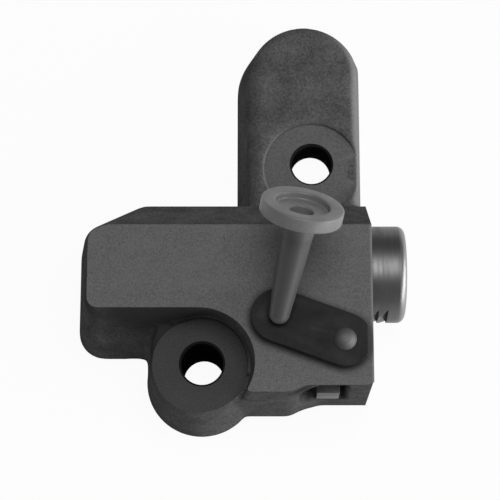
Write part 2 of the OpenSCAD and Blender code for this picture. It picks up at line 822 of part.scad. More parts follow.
// Half section of the leaning stem and its dished head, from the bend upwards
module stem_profile() {
    top = stem_len + head_t;
    polygon([[0, 0], [stem_d / 2, 0], [stem_top_d / 2, stem_len], [head_d / 2, stem_len], [head_d / 2, top],
        [dish_d / 2, top], [dish_d / 2, top - dish_depth], [dish_hole_d / 2, top - dish_depth],
        [dish_hole_d / 2, top - dish_depth - dish_hole_depth], [0, top - dish_depth - dish_hole_depth]]);
}

// Moulded pin: upright stub through the lever, ball bend and leaning stem with a head
module lock_pin() {
    stub_z = plateau_z - stub_depth;
    color("darkgray")
        translate([pin_xy[0], pin_xy[1], 0]) {
            translate([0, 0, stub_z])
                cylinder(h = bend_z - stub_z, d = stub_d);
            translate([0, 0, bend_z]) {
                sphere(d = stem_d);
                rotate([0, pin_lean, pin_heading])
                    rotate_extrude()
                        stem_profile();
            }
        }
}

housing();
plunger();
plunger_spring();
vent_disc();
valve_seat();
check_ball();
ball_spring();
ball_cage();
pawl();
pivot_shaft();
stop_lever();
lever_spring();
retaining_clip();
lock_pin();
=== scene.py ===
import json
import math

import bmesh
import bpy
from bpy.props import FloatProperty, FloatVectorProperty, IntProperty, PointerProperty
from mathutils import Matrix, Vector


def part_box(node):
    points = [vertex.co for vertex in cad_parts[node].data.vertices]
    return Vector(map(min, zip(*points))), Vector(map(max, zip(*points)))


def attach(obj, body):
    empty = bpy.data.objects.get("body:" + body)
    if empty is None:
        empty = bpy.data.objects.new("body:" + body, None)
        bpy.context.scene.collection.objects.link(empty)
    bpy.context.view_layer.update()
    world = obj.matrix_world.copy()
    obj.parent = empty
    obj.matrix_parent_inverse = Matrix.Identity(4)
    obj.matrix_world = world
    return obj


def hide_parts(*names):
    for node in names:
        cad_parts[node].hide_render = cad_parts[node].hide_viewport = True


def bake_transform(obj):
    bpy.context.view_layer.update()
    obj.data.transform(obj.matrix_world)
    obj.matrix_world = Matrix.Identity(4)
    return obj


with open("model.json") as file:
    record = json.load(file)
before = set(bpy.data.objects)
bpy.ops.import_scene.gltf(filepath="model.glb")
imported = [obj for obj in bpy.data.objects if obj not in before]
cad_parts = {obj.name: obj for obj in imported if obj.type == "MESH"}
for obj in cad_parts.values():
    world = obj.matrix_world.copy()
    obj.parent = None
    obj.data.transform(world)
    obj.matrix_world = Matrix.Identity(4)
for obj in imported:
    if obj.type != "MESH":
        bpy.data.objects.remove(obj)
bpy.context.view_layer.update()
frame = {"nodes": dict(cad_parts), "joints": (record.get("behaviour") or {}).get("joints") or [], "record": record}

bl_info = {
    "name": "Chain Tensioner",
    "version": (1, 0, 0),
    "blender": (4, 5, 0),
    "location": "View3D > Sidebar > Tensioner",
    "description": "Dresses a ratchet chain tensioner: cast housing, plunger, lever, lock pin and springs",
    "category": "Add Mesh",
}

MM = 0.001
# Points closer than this count as one
NEAR = 0.001 * MM
FULL_TURN = 2 * math.pi
FLAT_ANGLE = math.radians(0.5)
# Cosine above which a face counts as square to an axis
SQUARE = 0.9999
SENSOR_WIDTH = 36
# Steps in which round pieces are turned
FILL_STEPS, STUB_STEPS, ROUND_STEPS, PLUNGER_STEPS = 48, 64, 96, 160
X_AXIS = Vector((1, 0, 0))
Z_AXIS = Vector((0, 0, 1))


def named(rows, name):
    """The row of a record list that has this name."""
    return next(row for row in rows if row["name"] == name)


# Places and sizes that the frame gives
HOUSING_LOW, HOUSING_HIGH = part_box("housing")
PLUNGER_LOW, PLUNGER_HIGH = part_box("plunger")
VALVE_BACK_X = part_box("valve_seat")[0].x
LEVER_TOP_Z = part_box("stop_lever")[1].z
PIN_FOOT_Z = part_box("lock_pin")[0].z
PIVOT = Vector(named(frame["joints"], "lever_pivot")["pos_m"])
LOWER_BOLT = named(frame["record"]["mounts"], "bolt_lower")
UPPER_BOLT = named(frame["record"]["mounts"], "bolt_upper")
AXIS_Y = (PLUNGER_LOW.y + PLUNGER_HIGH.y) / 2
AXIS_Z = (PLUNGER_LOW.z + PLUNGER_HIGH.z) / 2
PLUNGER_R = (PLUNGER_HIGH.y - PLUNGER_LOW.y) / 2
NOSE_X = HOUSING_HIGH.x
PLATEAU_Z = HOUSING_HIGH.z


def length(name, description, millimetres):
    """A size property, given in millimetres and held in metres."""
    return FloatProperty(name=name, description=description, default=millimetres * MM, unit="LENGTH",
                         precision=5)


def turn(name, description, degrees):
    """An angle property, given in degrees and held in radians."""
    return FloatProperty(name=name, description=description, default=math.radians(degrees), unit="ROTATION")


def grey(name, description, level, warmth=0.0):
    """A colour property: a linear grey, which may have a slight warm tint."""
    tone = (level * (1 + warmth), level, level * (1 - warmth))
    return FloatVectorProperty(name=name, description=description, default=tone, subtype="COLOR",
                               size=3, min=0, max=1)


def spot(name, description, place):
    """A point property, given in millimetres and held in metres."""
    return FloatVectorProperty(name=name, description=description, default=[part * MM for part in place],
                               size=3, subtype="TRANSLATION", precision=5)


def number(name, description, default):
    """A whole number property."""
    return IntProperty(name=name, description=description, default=default)


def ratio(name, description, default):
    """A plain number property."""
    return FloatProperty(name=name, description=description, default=default)


def watts(name, description, default):
    """A lamp's power property."""
    return FloatProperty(name=name, description=description, default=default, unit="POWER")


class CastingSettings(bpy.types.PropertyGroup):
    """Sizes and colours of the cast housing"""

    voxel: length("Mesh size", "Size of the cells that the cast skin is made of", 0.34)
    stock: length("Machining stock", "Metal that the cutter takes off the faces", 1.6)
    fill_overlap: length("Fill overlap", "How far a bore's filling reaches into its wall", 0.4)
    soft_passes: number("Edge rounding", "Smoothing passes on every cast edge", 5)
    lug_passes: number("Lug rounding", "Further passes on the upper lug", 8)
    corner: spot("Boss corner", "Upright corner between the foot and the lower boss", (-9.9, 3.6, 0))
    corner_r: length("Corner radius", "Reach of the further passes round that corner", 3.4)
    corner_passes: number("Corner rounding", "Further passes in that corner", 30)
    seat_d: length("Lower seat", "Diameter of the facing cut over the lower boss", 15.7)
    seat_shift: length("Lower seat shift", "Middle of that cut from its hole, towards the free sides", 0.35)
    lug_seat_d: length("Upper seat", "Diameter of the upper bolt's seat", 16.2)
    lug_seat_low: length("Upper seat drop", "Middle of the upper bolt's seat below its hole", 0.9)
    boss_r: length("Boss", "Radius of the lower boss at its seat", 7.85)
    boss_foot_r: length("Boss foot", "Radius of the lower boss at the mounting face", 9.35)
    boss_root: spot("Boss root", "Where the lower boss runs on into the barrel", (-0.35, 2.4, 14.8))
    hole_chamfer: length("Hole chamfer", "Chamfer on the bolt holes", 0.35)
    bore_clearance: length("Bore clearance", "Radial clearance of the plunger", 0.03)
    bore_room: length("Bore end", "Plunger bore behind the valve seat", 0.02)
    shaft_clearance: length("Shaft clearance", "Radial clearance of the shaft and the lock pin", 0.04)
    pin_room: length("Pin bore end", "Lock pin's bore below its foot", 0.5)
    feed_d: length("Feed hole", "Diameter of the oil feed hole", 3.6)
    feed_back: length("Feed distance", "Feed hole behind the bottom of the plunger bore", 2.1)
    feed_room: length("Feed room", "Extra width of the chamber behind the bore", 0.5)
    spring_room: length("Spring recess", "Diameter of the recess for the lever spring", 6.2)
    spring_depth: length("Spring recess depth", "Depth of that recess below the plateau", 2.94)
    clip_room: length("Clip recess", "Diameter of the recess for the retaining clip", 8.4)
    clip_depth: length("Clip recess depth", "Depth of that recess in the mounting face", 2.4)
    skin: grey("Cast skin", "Colour of the as-cast skin", 0.088)
    # The lug's ground edge, made lighter still as a painted highlight on the faces turned towards the nose-side
    # lamp
    fettled_highlight: grey("Fettled edge", "Colour of the lug's ground edge on the nose side", 0.2)
    fettled_highlight_fade: length("Fettled fade", "Length over which the ground edge begins", 1.5)
    milled: grey("Machined iron", "Colour of the machined faces", 0.116)
    lug_seat: grey("Upper seat", "Colour of the upper bolt's seat", 0.105)
    # The lower seat's dark tone is partly its own and partly painted shade of its recess below the plateau
    dark_seat: grey("Lower seat", "Colour of the lower bolt's seat", 0.049)
    # Painted shade: the bores are nearly black, which stands in for the shade inside the holes
    bore: grey("Bores", "Colour of the oily bores", 0.014)
    # Painted shade: the skin is darkened round this point, in the recessed corner above the lower seat where shade
    # falls
    painted_shade: spot("Waist stain", "Middle of the oily corner above the lower seat", (-8, 8, 21))
    painted_shade_r: length("Shade radius", "Radius of the oily corner", 14.5)
    # Painted shade: the skin is darkened round this point, in the recess before the pawl
    pocket_painted_shade: spot("Pocket stain", "Middle of the oily corner before the pawl", (16.5, -6.5, 20.5))
    pocket_painted_shade_r: length("Pocket stain radius", "Radius of the oily corner before the pawl", 3.6)
    # Painted shadow: the plateau is darkened in a band round the lever at rest; these settings give the lever's
    # outline and the band
    lever_shadow_turn: turn("Lever direction", "From the pivot to the lever's far end, from +X towards +Y", 159.7)
    lever_shadow_len: length("Lever length", "From the pivot to the middle of the lever's far end", 11.2)
    lever_shadow_r: length("Lever radius", "Radius of the lever's round ends", 4.25)
    lever_shadow_gap: length("Shadow gap", "Clean gap between the lever and the painted_shadow", 0.15)
    lever_shadow_w: length("Shadow line", "Outer edge of the painted_shadow from the lever", 1.2)
    lever_shadow_fade: length("Shadow fade", "Depth below the plateau at which the painted_shadow ends", 0.1)
    # Painted highlight: a thin lighter line on the machined faces along the nose edge
    nose_highlight_w: length("Nose edge", "Width of the burnished edge beside the nose", 0.4)
    contrast: ratio("Grain contrast", "Share by which the grain is lighter or darker", 0.4)
    grain: length("Sand grain", "Size of the sand grain in the skin", 0.34)
    grain_depth: length("Grain depth", "Height of the grain", 0.07)


class PlungerSettings(bpy.types.PropertyGroup):
    """Sizes and colours of the plunger and its rack"""

    tip_round: length("Tip rounding", "Radius of the rounded rim at the tip", 1.2)
    tip_dome: length("Tip dome", "Height of the domed tip", 0.5)
    bleed_d: length("Bleed hole", "Diameter of the bleed hole in the tip", 1.2)
    hole_d: length("Spring hole", "Diameter of the hole that takes the spring", 10.4)
    closed_end: length("Closed end", "Thickness of the closed end", 4)
    rack_pitch: length("Rack pitch", "Pitch of the rack teeth", 1.5)
    rack_depth: length("Rack depth", "Depth of the rack teeth", 0.9)
    rack_land: length("Rack land", "Depth of the flat that the teeth are cut into", 0.15)
    rack_start: length("Rack start", "Smooth length between the tip and the first tooth", 3.4)
    rack_teeth: number("Rack teeth", "Number of rack teeth", 20)
    edge: length("Edge break", "Width of the broken edges", 0.08)
    steel: grey("Ground steel", "Colour of the ground steel", 0.135)
    # Painted highlight: the plunger's tip is made lighter towards its end
    highlit: ratio("Highlit tip", "How far the tip is worn bright", 0.8)
    highlight_from: length("Highlit length", "Where the worn part starts, from the tip", 1.7)
    highlight_to: length("Bright length", "Where it is brightest, from the tip", 0.9)


class RatchetSettings(bpy.types.PropertyGroup):
    """Sizes and colours of the lever, its shaft, the pawl and the clip"""

    shaft_d: length("Shaft", "Diameter of the pivot shaft", 3.2)
    edge: length("Edge break", "Width of the broken edges", 0.12)
    oxide: grey("Black oxide", "Colour of the lever", 0.0105)
    bright: grey("Bright steel", "Colour of the rivet and the pawl", 0.165)


class PinSettings(bpy.types.PropertyGroup):
    """Sizes and colours of the lock pin"""

    reach: length("Pin reach", "Lock pin from the pivot shaft", 10.95)
    angle: turn("Pin angle", "Angle of the lock pin about the pivot, from -X", 19.4)
    lean: turn("Lean", "Lean of the stem from +Z", 51.6)
    heading: turn("Heading", "Heading of the lean, from +X", 76.4)
    stub_d: length("Stub", "Diameter of the stub in the housing", 2.6)
    stem_d: length("Stem foot", "Diameter of the stem at its foot", 3.3)
    stem_top_d: length("Stem top", "Diameter of the stem under the head", 5.6)
    stem_len: length("Stem length", "Length of the stem from its bend to the head", 16.8)
    head_d: length("Head", "Head diameter", 12.9)
    head_t: length("Head thickness", "Head thickness", 2.3)
    dish_d: length("Dish", "Diameter of the dish in the head", 8.4)
    dish_depth: length("Dish depth", "Depth of the dish", 1.2)
    hole_d: length("Blind hole", "Diameter of the blind hole in the dish", 3.6)
    hole_depth: length("Hole depth", "Depth of the blind hole below the dish", 3)
    bend_gap: length("Bend gap", "Gap between the lever and the ball bend", 0.1)
    neck: length("Neck fillet", "Fillet between the stem and the head", 1.0)
    edge: length("Edge rounding", "Radius of the moulded edges", 0.35)
    plastic: grey("Pin plastic", "Colour of the moulded pin", 0.14)


class SpringSettings(bpy.types.PropertyGroup):
    """Sizes and colours of the coil springs"""

    plunger_wire: length("Plunger wire", "Wire of the plunger spring", 1.4)
    plunger_coil_d: length("Plunger coil", "Mean diameter of the plunger spring", 8.1)
    plunger_turns: number("Plunger turns", "Turns of the plunger spring", 9)
    lever_wire: length("Lever wire", "Wire of the lever spring", 0.6)
    lever_coil_d: length("Lever coil", "Mean diameter of the lever spring", 5)
    lever_turns: number("Lever turns", "Turns of the lever spring", 3)
    lever_leg: length("Lever leg", "Upright end of the lever spring that stands in the lever", 1.65)
    ball_coil_d: length("Ball coil", "Mean diameter of the ball spring", 2.5)
    ball_wire: length("Ball wire", "Wire of the ball spring", 0.3)
    ball_turns: number("Ball turns", "Turns of the ball spring", 2)
    wire: grey("Spring wire", "Colour of the drawn spring wire", 0.36)
    disc: grey("Vent disc", "Colour of the moulded vent disc", 0.55, 0.06)


class StageSettings(bpy.types.PropertyGroup):
    """Camera, floor and lamps"""

    lens: FloatProperty(name="Lens", description="Focal length on a 36 mm sensor", default=129.6,
                        unit="CAMERA")
    elevation: turn("Elevation", "Height of the camera above the horizon", 75)
    distance: length("Distance", "Camera from the point it looks at", 288)
    target: spot("Target", "Point that the camera looks at", (7.775, 16.92, 23))
    floor_r: length("Floor", "Radius of the floor", 3000)
    floor: grey("Floor colour", "Colour of the pale floor", 0.75)
    floor_gap: length("Floor gap", "Floor below the mounting face", 0.05)
    floor_glow: ratio("Floor glow", "Share of plain white that the camera sees in the floor", 0.94)
    lamp_distance: length("Lamp distance", "Lamps from the point that the camera looks at", 600)
    key_power: watts("Key lamp", "Power of the large lamp overhead", 2.1)
    key_size: length("Key lamp size", "Side of the large lamp overhead", 320)
    key_azimuth: turn("Key lamp azimuth", "Large lamp from +X towards +Y", 40)
    key_elevation: turn("Key lamp elevation", "Large lamp above the horizon", 82)
    edge_power: watts("Edge lamp", "Power of the low lamp on the nose side", 4.4)
    edge_size: length("Edge lamp width", "Width of the low lamp on the nose side", 800)
    edge_height: length("Edge lamp height", "Height of the low lamp on the nose side", 250)
    edge_azimuth: turn("Edge lamp azimuth", "Low lamp from +X towards +Y", -20)
    edge_elevation: turn("Edge lamp elevation", "Low lamp above the horizon", 9)
    room: grey("Room", "Brightness of the room around the stage", 0.19)


SETTINGS = {
    "tensioner_casting": CastingSettings,
    "tensioner_plunger": PlungerSettings,
    "tensioner_ratchet": RatchetSettings,
    "tensioner_pin": PinSettings,
    "tensioner_springs": SpringSettings,
    "tensioner_stage": StageSettings,
}


# Mesh helpers


def merged_copy(node):
    """A bmesh of a packed node with its loose triangles joined and its flat faces made whole."""
    bm = bmesh.new()
    bm.from_mesh(frame["nodes"][node].data)
    bmesh.ops.remove_doubles(bm, verts=bm.verts, dist=NEAR)
    bmesh.ops.dissolve_limit(bm, angle_limit=FLAT_ANGLE, verts=bm.verts, edges=bm.edges)
    return bm


def pull(bm, faces, offset, keep=False):
    """Extrudes faces by an offset; the old faces may be kept."""
    grown = bmesh.ops.extrude_face_region(bm, geom=faces, use_keep_orig=keep)["geom"]
    verts = [part for part in grown if isinstance(part, bmesh.types.BMVert)]
    bmesh.ops.translate(bm, vec=offset, verts=verts)


def lathe(bm, profile, origin, axis, steps, closed=False):
    """Spins a profile of (along, radius) points once about an axis; an open one ends on the axis."""
    along = axis.normalized()
    out = along.orthogonal().normalized()
    verts = [bm.verts.new(origin + along * run + out * radius) for run, radius in profile]
    last = len(verts) if closed else len(verts) - 1
    edges = [bm.edges.new((verts[i], verts[(i + 1) % len(verts)])) for i in range(last)]
    bmesh.ops.spin(bm, geom=verts + edges, cent=origin, axis=along, angle=FULL_TURN, steps=steps,
                   use_merge=True)
    bmesh.ops.remove_doubles(bm, verts=bm.verts, dist=NEAR / 10)
    bmesh.ops.recalc_face_normals(bm, faces=bm.faces)


def rings(bm, origin, axis, run, radius):
    """Edges of a spun mesh that lie on one ring."""
    along = axis.normalized()

    def on_ring(vert):
        offset = vert.co - origin
        height = offset.dot(along)
        wide = (offset - along * height).length
        return abs(height - run) < 2 * NEAR and abs(wide - radius) < 2 * NEAR

    return [edge for edge in bm.edges if all(on_ring(vert) for vert in edge.verts)]


def soften(bm, edges, width, segments=3):
    """Rounds edges by a width."""
    bmesh.ops.bevel(bm, geom=edges, offset=width, offset_type="OFFSET", segments=segments, profile=0.5,
                    affect="EDGES", material=-1, clamp_overlap=True)


def sharp_edges(bm, degrees=35):
    """Edges whose faces meet at more than an angle."""
    limit = math.radians(degrees)
    return [edge for edge in bm.edges if len(edge.link_faces) == 2 and edge.calc_face_angle() > limit]


def raw_object(name, bm, material):
    """An object made from a bmesh, with one material."""
    mesh = bpy.data.meshes.new(name)
    bm.to_mesh(mesh)
    bm.free()
    mesh.materials.append(material)
    made = bpy.data.objects.new(name, mesh)
    bpy.context.scene.collection.objects.link(made)
    return made


def bake_modifiers(piece):
    """Makes a piece's modifiers part of its mesh."""
    bpy.context.view_layer.update()
    graph = bpy.context.evaluated_depsgraph_get()
    mesh = bpy.data.meshes.new_from_object(piece.evaluated_get(graph), depsgraph=graph)
    old = piece.data
    piece.modifiers.clear()
    piece.data = mesh
    bpy.data.meshes.remove(old)


def combine(piece, tools, operation):
    """Joins solids to a piece or cuts them out of it, then removes them and any slivers."""
    for tool in tools:
        step = piece.modifiers.new(tool.name, "BOOLEAN")
        step.operation = operation
        step.solver = "MANIFOLD"
        step.material_mode = "TRANSFER"
        step.object = tool
    bake_modifiers(piece)
    bm = bmesh.new()
    bm.from_mesh(piece.data)
    bmesh.ops.remove_doubles(bm, verts=bm.verts, dist=2 * NEAR)
    bmesh.ops.dissolve_degenerate(bm, dist=NEAR, edges=bm.edges)
    bm.to_mesh(piece.data)
    bm.free()
    for tool in tools:
        bpy.data.objects.remove(tool)


def shade(piece, degrees=32):
    """Smooth shading that breaks at sharp edges."""
    piece.data.shade_smooth()
    piece.data.set_sharp_from_angle(angle=math.radians(degrees))


def seat(piece, body, slot, *nodes):
    """Puts a finished piece on its body in place of its packed nodes."""
    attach(piece, body)
    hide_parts(*nodes)


# Shader helpers

VECTOR, VALUE = "NodeSocketVector", "NodeSocketFloat"
# Stretch of a cutter's straight marks, which run along X, and of the marks round turned steel
CUTTER_RUN = (0.06, 1.0, 0.3)
TURNED_STRETCH = 0.04


def add_node(tree, kind, settings=None, **sockets):
    """A shader node with its settings, and its sockets set or linked by name."""
    made = tree.nodes.new(kind)
    for key, value in (settings or {}).items():
        setattr(made, key, value)
    for key, value in sockets.items():
        plug(tree, made.inputs[key.replace("_", " ")], value)
    return made


def plug(tree, socket, value):
    """Links an output to a socket, or sets the socket's value."""
    if isinstance(value, bpy.types.NodeSocket):
        tree.links.new(value, socket)
    else:
        socket.default_value = value


def blend_colours(tree, factor, first, second):
    """A colour mix by a factor."""
    mix = tree.nodes.new("ShaderNodeMix")
    mix.data_type = "RGBA"
    plug(tree, mix.inputs[0], factor)
    plug(tree, mix.inputs[6], first)
    plug(tree, mix.inputs[7], second)
    return mix.outputs[2]


def tint(tree, mask, share, first, second):
    """A colour mix by a share of a mask."""
    return blend_colours(tree, maths(tree, "MULTIPLY", mask, share), first, second)


def shifted(colour, share):
    """A colour made lighter or darker by a share, with full alpha."""
    return tuple(min(1.0, part * share) for part in colour[:3]) + (1.0,)


def tones(tree, factor, colour, low, high):
    """A mix of two tones of one colour."""
    return blend_colours(tree, factor, shifted(colour, low), shifted(colour, high))


def spread(tree, value, low, high, to_low=0.0, to_high=1.0):
    """A value's range stretched to another."""
    made = add_node(tree, "ShaderNodeMapRange", None, Value=value, From_Min=low, From_Max=high,
                    To_Min=to_low, To_Max=to_high)
    return made.outputs["Result"]


def maths(tree, operation, first, second):
    """One step of arithmetic on two values."""
    made = tree.nodes.new("ShaderNodeMath")
    made.operation = operation
    plug(tree, made.inputs[0], first)
    plug(tree, made.inputs[1], second)
    return made.outputs[0]


def weighted(tree, first, second, share):
    """Two values added, the first by a share and the second by the rest."""
    rest = maths(tree, "MULTIPLY", second, 1 - share)
    return maths(tree, "ADD", maths(tree, "MULTIPLY", first, share), rest)


def vectors(tree, operation, first, second=(0, 0, 0)):
    """One step of arithmetic on two vectors, or on one; gives a vector or a value."""
    made = tree.nodes.new("ShaderNodeVectorMath")
    made.operation = operation
    plug(tree, made.inputs[0], first)
    plug(tree, made.inputs[1], second)
    return made.outputs["Value" if operation in ("DISTANCE", "DOT_PRODUCT", "LENGTH") else "Vector"]


def coordinate(tree, vector, axis):
    """One coordinate of a vector."""
    return add_node(tree, "ShaderNodeSeparateXYZ", None, Vector=vector).outputs[axis]


def noise(tree, vector, scale, detail, roughness=0.5):
    """A noise over a vector, from 0 to 1."""
    made = add_node(tree, "ShaderNodeTexNoise", None, Vector=vector, Scale=scale, Detail=detail,
                    Roughness=roughness)
    return made.outputs["Fac"]


def start_group(name, inputs, outputs):
    """A new shader node group with its sockets; returns it with its input and output nodes."""
    group = bpy.data.node_groups.new(name, "ShaderNodeTree")
    for label, kind in inputs:
        group.interface.new_socket(name=label, in_out="INPUT", socket_type=kind)
    for label in outputs:
        group.interface.new_socket(name=label, in_out="OUTPUT", socket_type=VALUE)
    return group, group.nodes.new("NodeGroupInput"), group.nodes.new("NodeGroupOutput")


def sand_grain_group():
    """Sand-cast skin: grain height, speckle and slow patches."""
    group, given, result = start_group(
        "Sand Grain", [("Vector", VECTOR), ("Grain", VALUE), ("Patch", VALUE)],
        ["Height", "Speckle", "Patches"])
    vector, grain, patch = (given.outputs[label] for label in ("Vector", "Grain", "Patch"))
    fine = noise(group, vector, maths(group, "DIVIDE", 1.0, grain), detail=4.0, roughness=0.62)
    pits = add_node(group, "ShaderNodeTexVoronoi", {"feature": "SMOOTH_F1"}, Vector=vector,
                    Scale=maths(group, "DIVIDE", 0.55, grain), Smoothness=0.6).outputs["Distance"]
    slow = noise(group, vector, maths(group, "DIVIDE", 1.0, patch), detail=5.0, roughness=0.6)
    plug(group, result.inputs["Height"], weighted(group, fine, pits, share=0.65))
    plug(group, result.inputs["Speckle"], spread(group, fine, 0.34, 0.66))
    plug(group, result.inputs["Patches"], spread(group, slow, 0.32, 0.68))
    return group


def tool_lines_group():
    """Marks of a cutter or a grinding wheel: fine lines across one coordinate, broken along them."""
    group, given, result = start_group(
        "Tool Lines", [("Vector", VECTOR), ("Pitch", VALUE), ("Run", VECTOR)], ["Height", "Streaks"])
    stretched = vectors(group, "MULTIPLY", given.outputs["Vector"], given.outputs["Run"])
    scale = maths(group, "DIVIDE", 1.0, given.outputs["Pitch"])
    fine = noise(group, stretched, scale, detail=3.0, roughness=0.7)
    broad = noise(group, stretched, maths(group, "MULTIPLY", scale, 0.17), detail=2.0)
    plug(group, result.inputs["Height"], fine)
    both = weighted(group, fine, broad, share=0.5)
    plug(group, result.inputs["Streaks"], spread(group, both, 0.36, 0.64))
    return group


def edge_rub_group():
    """Mask of convex edges that handling and tumbling have rubbed, broken up by a noise."""
    group, given, result = start_group(
        "Edge Rub", [("Vector", VECTOR), ("Pointiness", VALUE), ("Width", VALUE)], ["Mask"])
    edge = spread(group, given.outputs["Pointiness"], 0.5, maths(group, "ADD", given.outputs["Width"], 0.5))
    broken = noise(group, given.outputs["Vector"], scale=900.0, detail=3.0, roughness=0.6)
    plug(group, result.inputs["Mask"], maths(group, "MULTIPLY", edge, spread(group, broken, 0.3, 0.6)))
    return group


GROUPS = {"Sand Grain": sand_grain_group, "Tool Lines": tool_lines_group, "Edge Rub": edge_rub_group}


def use_group(tree, name, **sockets):
    """A shared group, built at its first use, placed in a material with its own values."""
    group = bpy.data.node_groups.get(name) or GROUPS[name]()
    return add_node(tree, "ShaderNodeGroup", {"node_tree": group}, **sockets).outputs


def rubbed_edges(tree, place, width):
    """Mask of a material's rubbed edges."""
    sharp = add_node(tree, "ShaderNodeNewGeometry").outputs["Pointiness"]
    return use_group(tree, "Edge Rub", Vector=place, Pointiness=sharp, Width=width)["Mask"]


def start_material(name):
    """A new material; returns it with its tree, Principled shader and Object coordinates."""
    made = bpy.data.materials.new(name)
    made.use_nodes = True
    tree = made.node_tree
    shader = next(node for node in tree.nodes if node.type == "BSDF_PRINCIPLED")
    place = add_node(tree, "ShaderNodeTexCoord").outputs["Object"]
    return made, tree, shader, place


def bump(tree, shader, height, distance):
    """Feeds a height to the shader's normal."""
    made = add_node(tree, "ShaderNodeBump", None, Strength=1.0, Distance=distance, Height=height)
    plug(tree, shader.inputs["Normal"], made.outputs["Normal"])


def lug_root(settings):
    """Y at which the upper lug leaves the barrel."""
    return UPPER_BOLT["pos_m"][1] - settings.lug_seat_d / 2


def cast_skin(settings):
    """As-cast iron: dark grey, sandy, with faintly rubbed edges, painted shade in two recessed corners, and the
    lug's nose side ground and made lighter by a painted highlight.
    """
    made, tree, shader, place = start_material("Cast skin")
    sand = use_group(tree, "Sand Grain", Vector=place, Grain=settings.grain, Patch=4 * MM)
    rub = rubbed_edges(tree, place, width=0.05)
    low, high = 1 - settings.contrast, 1 + settings.contrast
    skin = settings.skin
    dark = tones(tree, sand["Patches"], skin, low * 0.8, low * 1.35)
    pale = tones(tree, sand["Patches"], skin, high * 0.72, high * 1.12)
    grain_and_shade = blend_colours(tree, sand["Speckle"], dark, pale)
    # Painted shade: the skin is darkened round two points, in recessed corners where shade falls
    painted_shades = ((settings.painted_shade, settings.painted_shade_r), (settings.pocket_painted_shade, settings.pocket_painted_shade_r))
    for middle, radius in painted_shades:
        shaded = spread(tree, vectors(tree, "DISTANCE", place, middle), radius * 0.4, radius, 0.95, 0)
        grain_and_shade = blend_colours(tree, shaded, grain_and_shade, shifted(skin, 0.35))
    rubbed = tint(tree, rub, 0.12, grain_and_shade, shifted(skin, 1.5))
    # The ground edge on the lug's nose side, lightened further as a painted highlight
    ground = maths(tree, "MULTIPLY", fettled_highlight_mask(tree, settings, place),
                   spread(tree, sand["Speckle"], 0, 1, 0.7, 1))
    bare_and_highlit = shifted(settings.fettled_highlight, 1.0)
    plug(tree, shader.inputs["Base Color"], blend_colours(tree, ground, rubbed, bare_and_highlit))
    plug(tree, shader.inputs["Roughness"], spread(tree, ground, 0, 1, 0.8, 0.5))
    shader.inputs["Specular IOR Level"].default_value = 0.0
    bump(tree, shader, sand["Height"], settings.grain_depth)
    return made


def fettled_highlight_mask(tree, settings, place):
    """Mask of the lug's nose side, where the flash was ground off; it is strongest on faces turned towards +X,
    which paints a highlight there.
    """
    facing = coordinate(tree, add_node(tree, "ShaderNodeTexCoord").outputs["Normal"], "X")
    root = lug_root(settings)
    on_lug = spread(tree, coordinate(tree, place, "Y"), root - settings.fettled_highlight_fade, root)
    return maths(tree, "MULTIPLY", spread(tree, facing, 0.3, 0.75), on_lug)


def lever_shadow_mask(tree, settings, place):
    """Mask of the painted shadow round the lever at rest, on the plateau only."""
    local = add_node(tree, "ShaderNodeMapping", {"vector_type": "TEXTURE"}, Vector=place, Location=PIVOT,
                     Rotation=(0, 0, settings.lever_shadow_turn)).outputs[0]
    along, beside = coordinate(tree, local, "X"), coordinate(tree, local, "Y")
    nearest = add_node(tree, "ShaderNodeClamp", None, Value=along, Min=0.0, Max=settings.lever_shadow_len)
    past = maths(tree, "SUBTRACT", along, nearest.outputs[0])
    away = vectors(tree, "LENGTH", add_node(tree, "ShaderNodeCombineXYZ", None, X=past, Y=beside).outputs[0])
    rim = settings.lever_shadow_r
    in_lever_shadow = spread(tree, away, rim + settings.lever_shadow_gap, rim + settings.lever_shadow_w, 0.8, 0)
    fade = settings.lever_shadow_fade
    on_top = spread(tree, coordinate(tree, place, "Z"), PLATEAU_Z - 2 * fade, PLATEAU_Z - fade)
    return maths(tree, "MULTIPLY", in_lever_shadow, on_top)


def machined_iron(settings, name, colour, centre=None, shine=0.12):
    """Iron faced by a cutter, with a painted highlight along the nose edge: lines along X with a painted shadow
    round the lever, or rings.
    """
    made, tree, shader, place = start_material(name)
    sand = use_group(tree, "Sand Grain", Vector=place, Grain=settings.grain * 0.7, Patch=5 * MM)
    if centre is None:
        path, run = place, CUTTER_RUN
    else:
        moved = add_node(tree, "ShaderNodeMapping", None, Vector=place, Location=-centre).outputs[0]
        away = vectors(tree, "LENGTH", vectors(tree, "MULTIPLY", moved, (1, 1, 0)))
        path, run = add_node(tree, "ShaderNodeCombineXYZ", None, X=away).outputs[0], (1, 1, 1)
    lines = use_group(tree, "Tool Lines", Vector=path, Pitch=0.3 * MM, Run=run)
    low, high = 1 - settings.contrast * 0.55, 1 + settings.contrast * 0.55
    streaked = tones(tree, lines["Streaks"], colour, low * 0.94, low * 1.1)
    patched = blend_colours(tree, sand["Patches"], streaked, shifted(colour, low * 0.82))
    speckled = blend_colours(tree, sand["Speckle"], patched, shifted(colour, high))
    # Painted highlight along the nose edge
    line = settings.nose_highlight_w
    nose = spread(tree, coordinate(tree, place, "X"), NOSE_X - line, NOSE_X - line / 4, 0, 0.7)
    highlighted = blend_colours(tree, nose, speckled, shifted(colour, 2.2))
    # Painted shadow round the lever, on the plateau
    if centre is None:
        highlighted = blend_colours(tree, lever_shadow_mask(tree, settings, place), highlighted, shifted(colour, 0.3))
    plug(tree, shader.inputs["Base Color"], highlighted)
    plug(tree, shader.inputs["Roughness"], spread(tree, lines["Streaks"], 0, 1, 0.66, 0.54))
    shader.inputs["Specular IOR Level"].default_value = shine
    height = weighted(tree, lines["Height"], sand["Height"], share=0.35)
    bump(tree, shader, height, settings.grain_depth * 0.55)
    return made


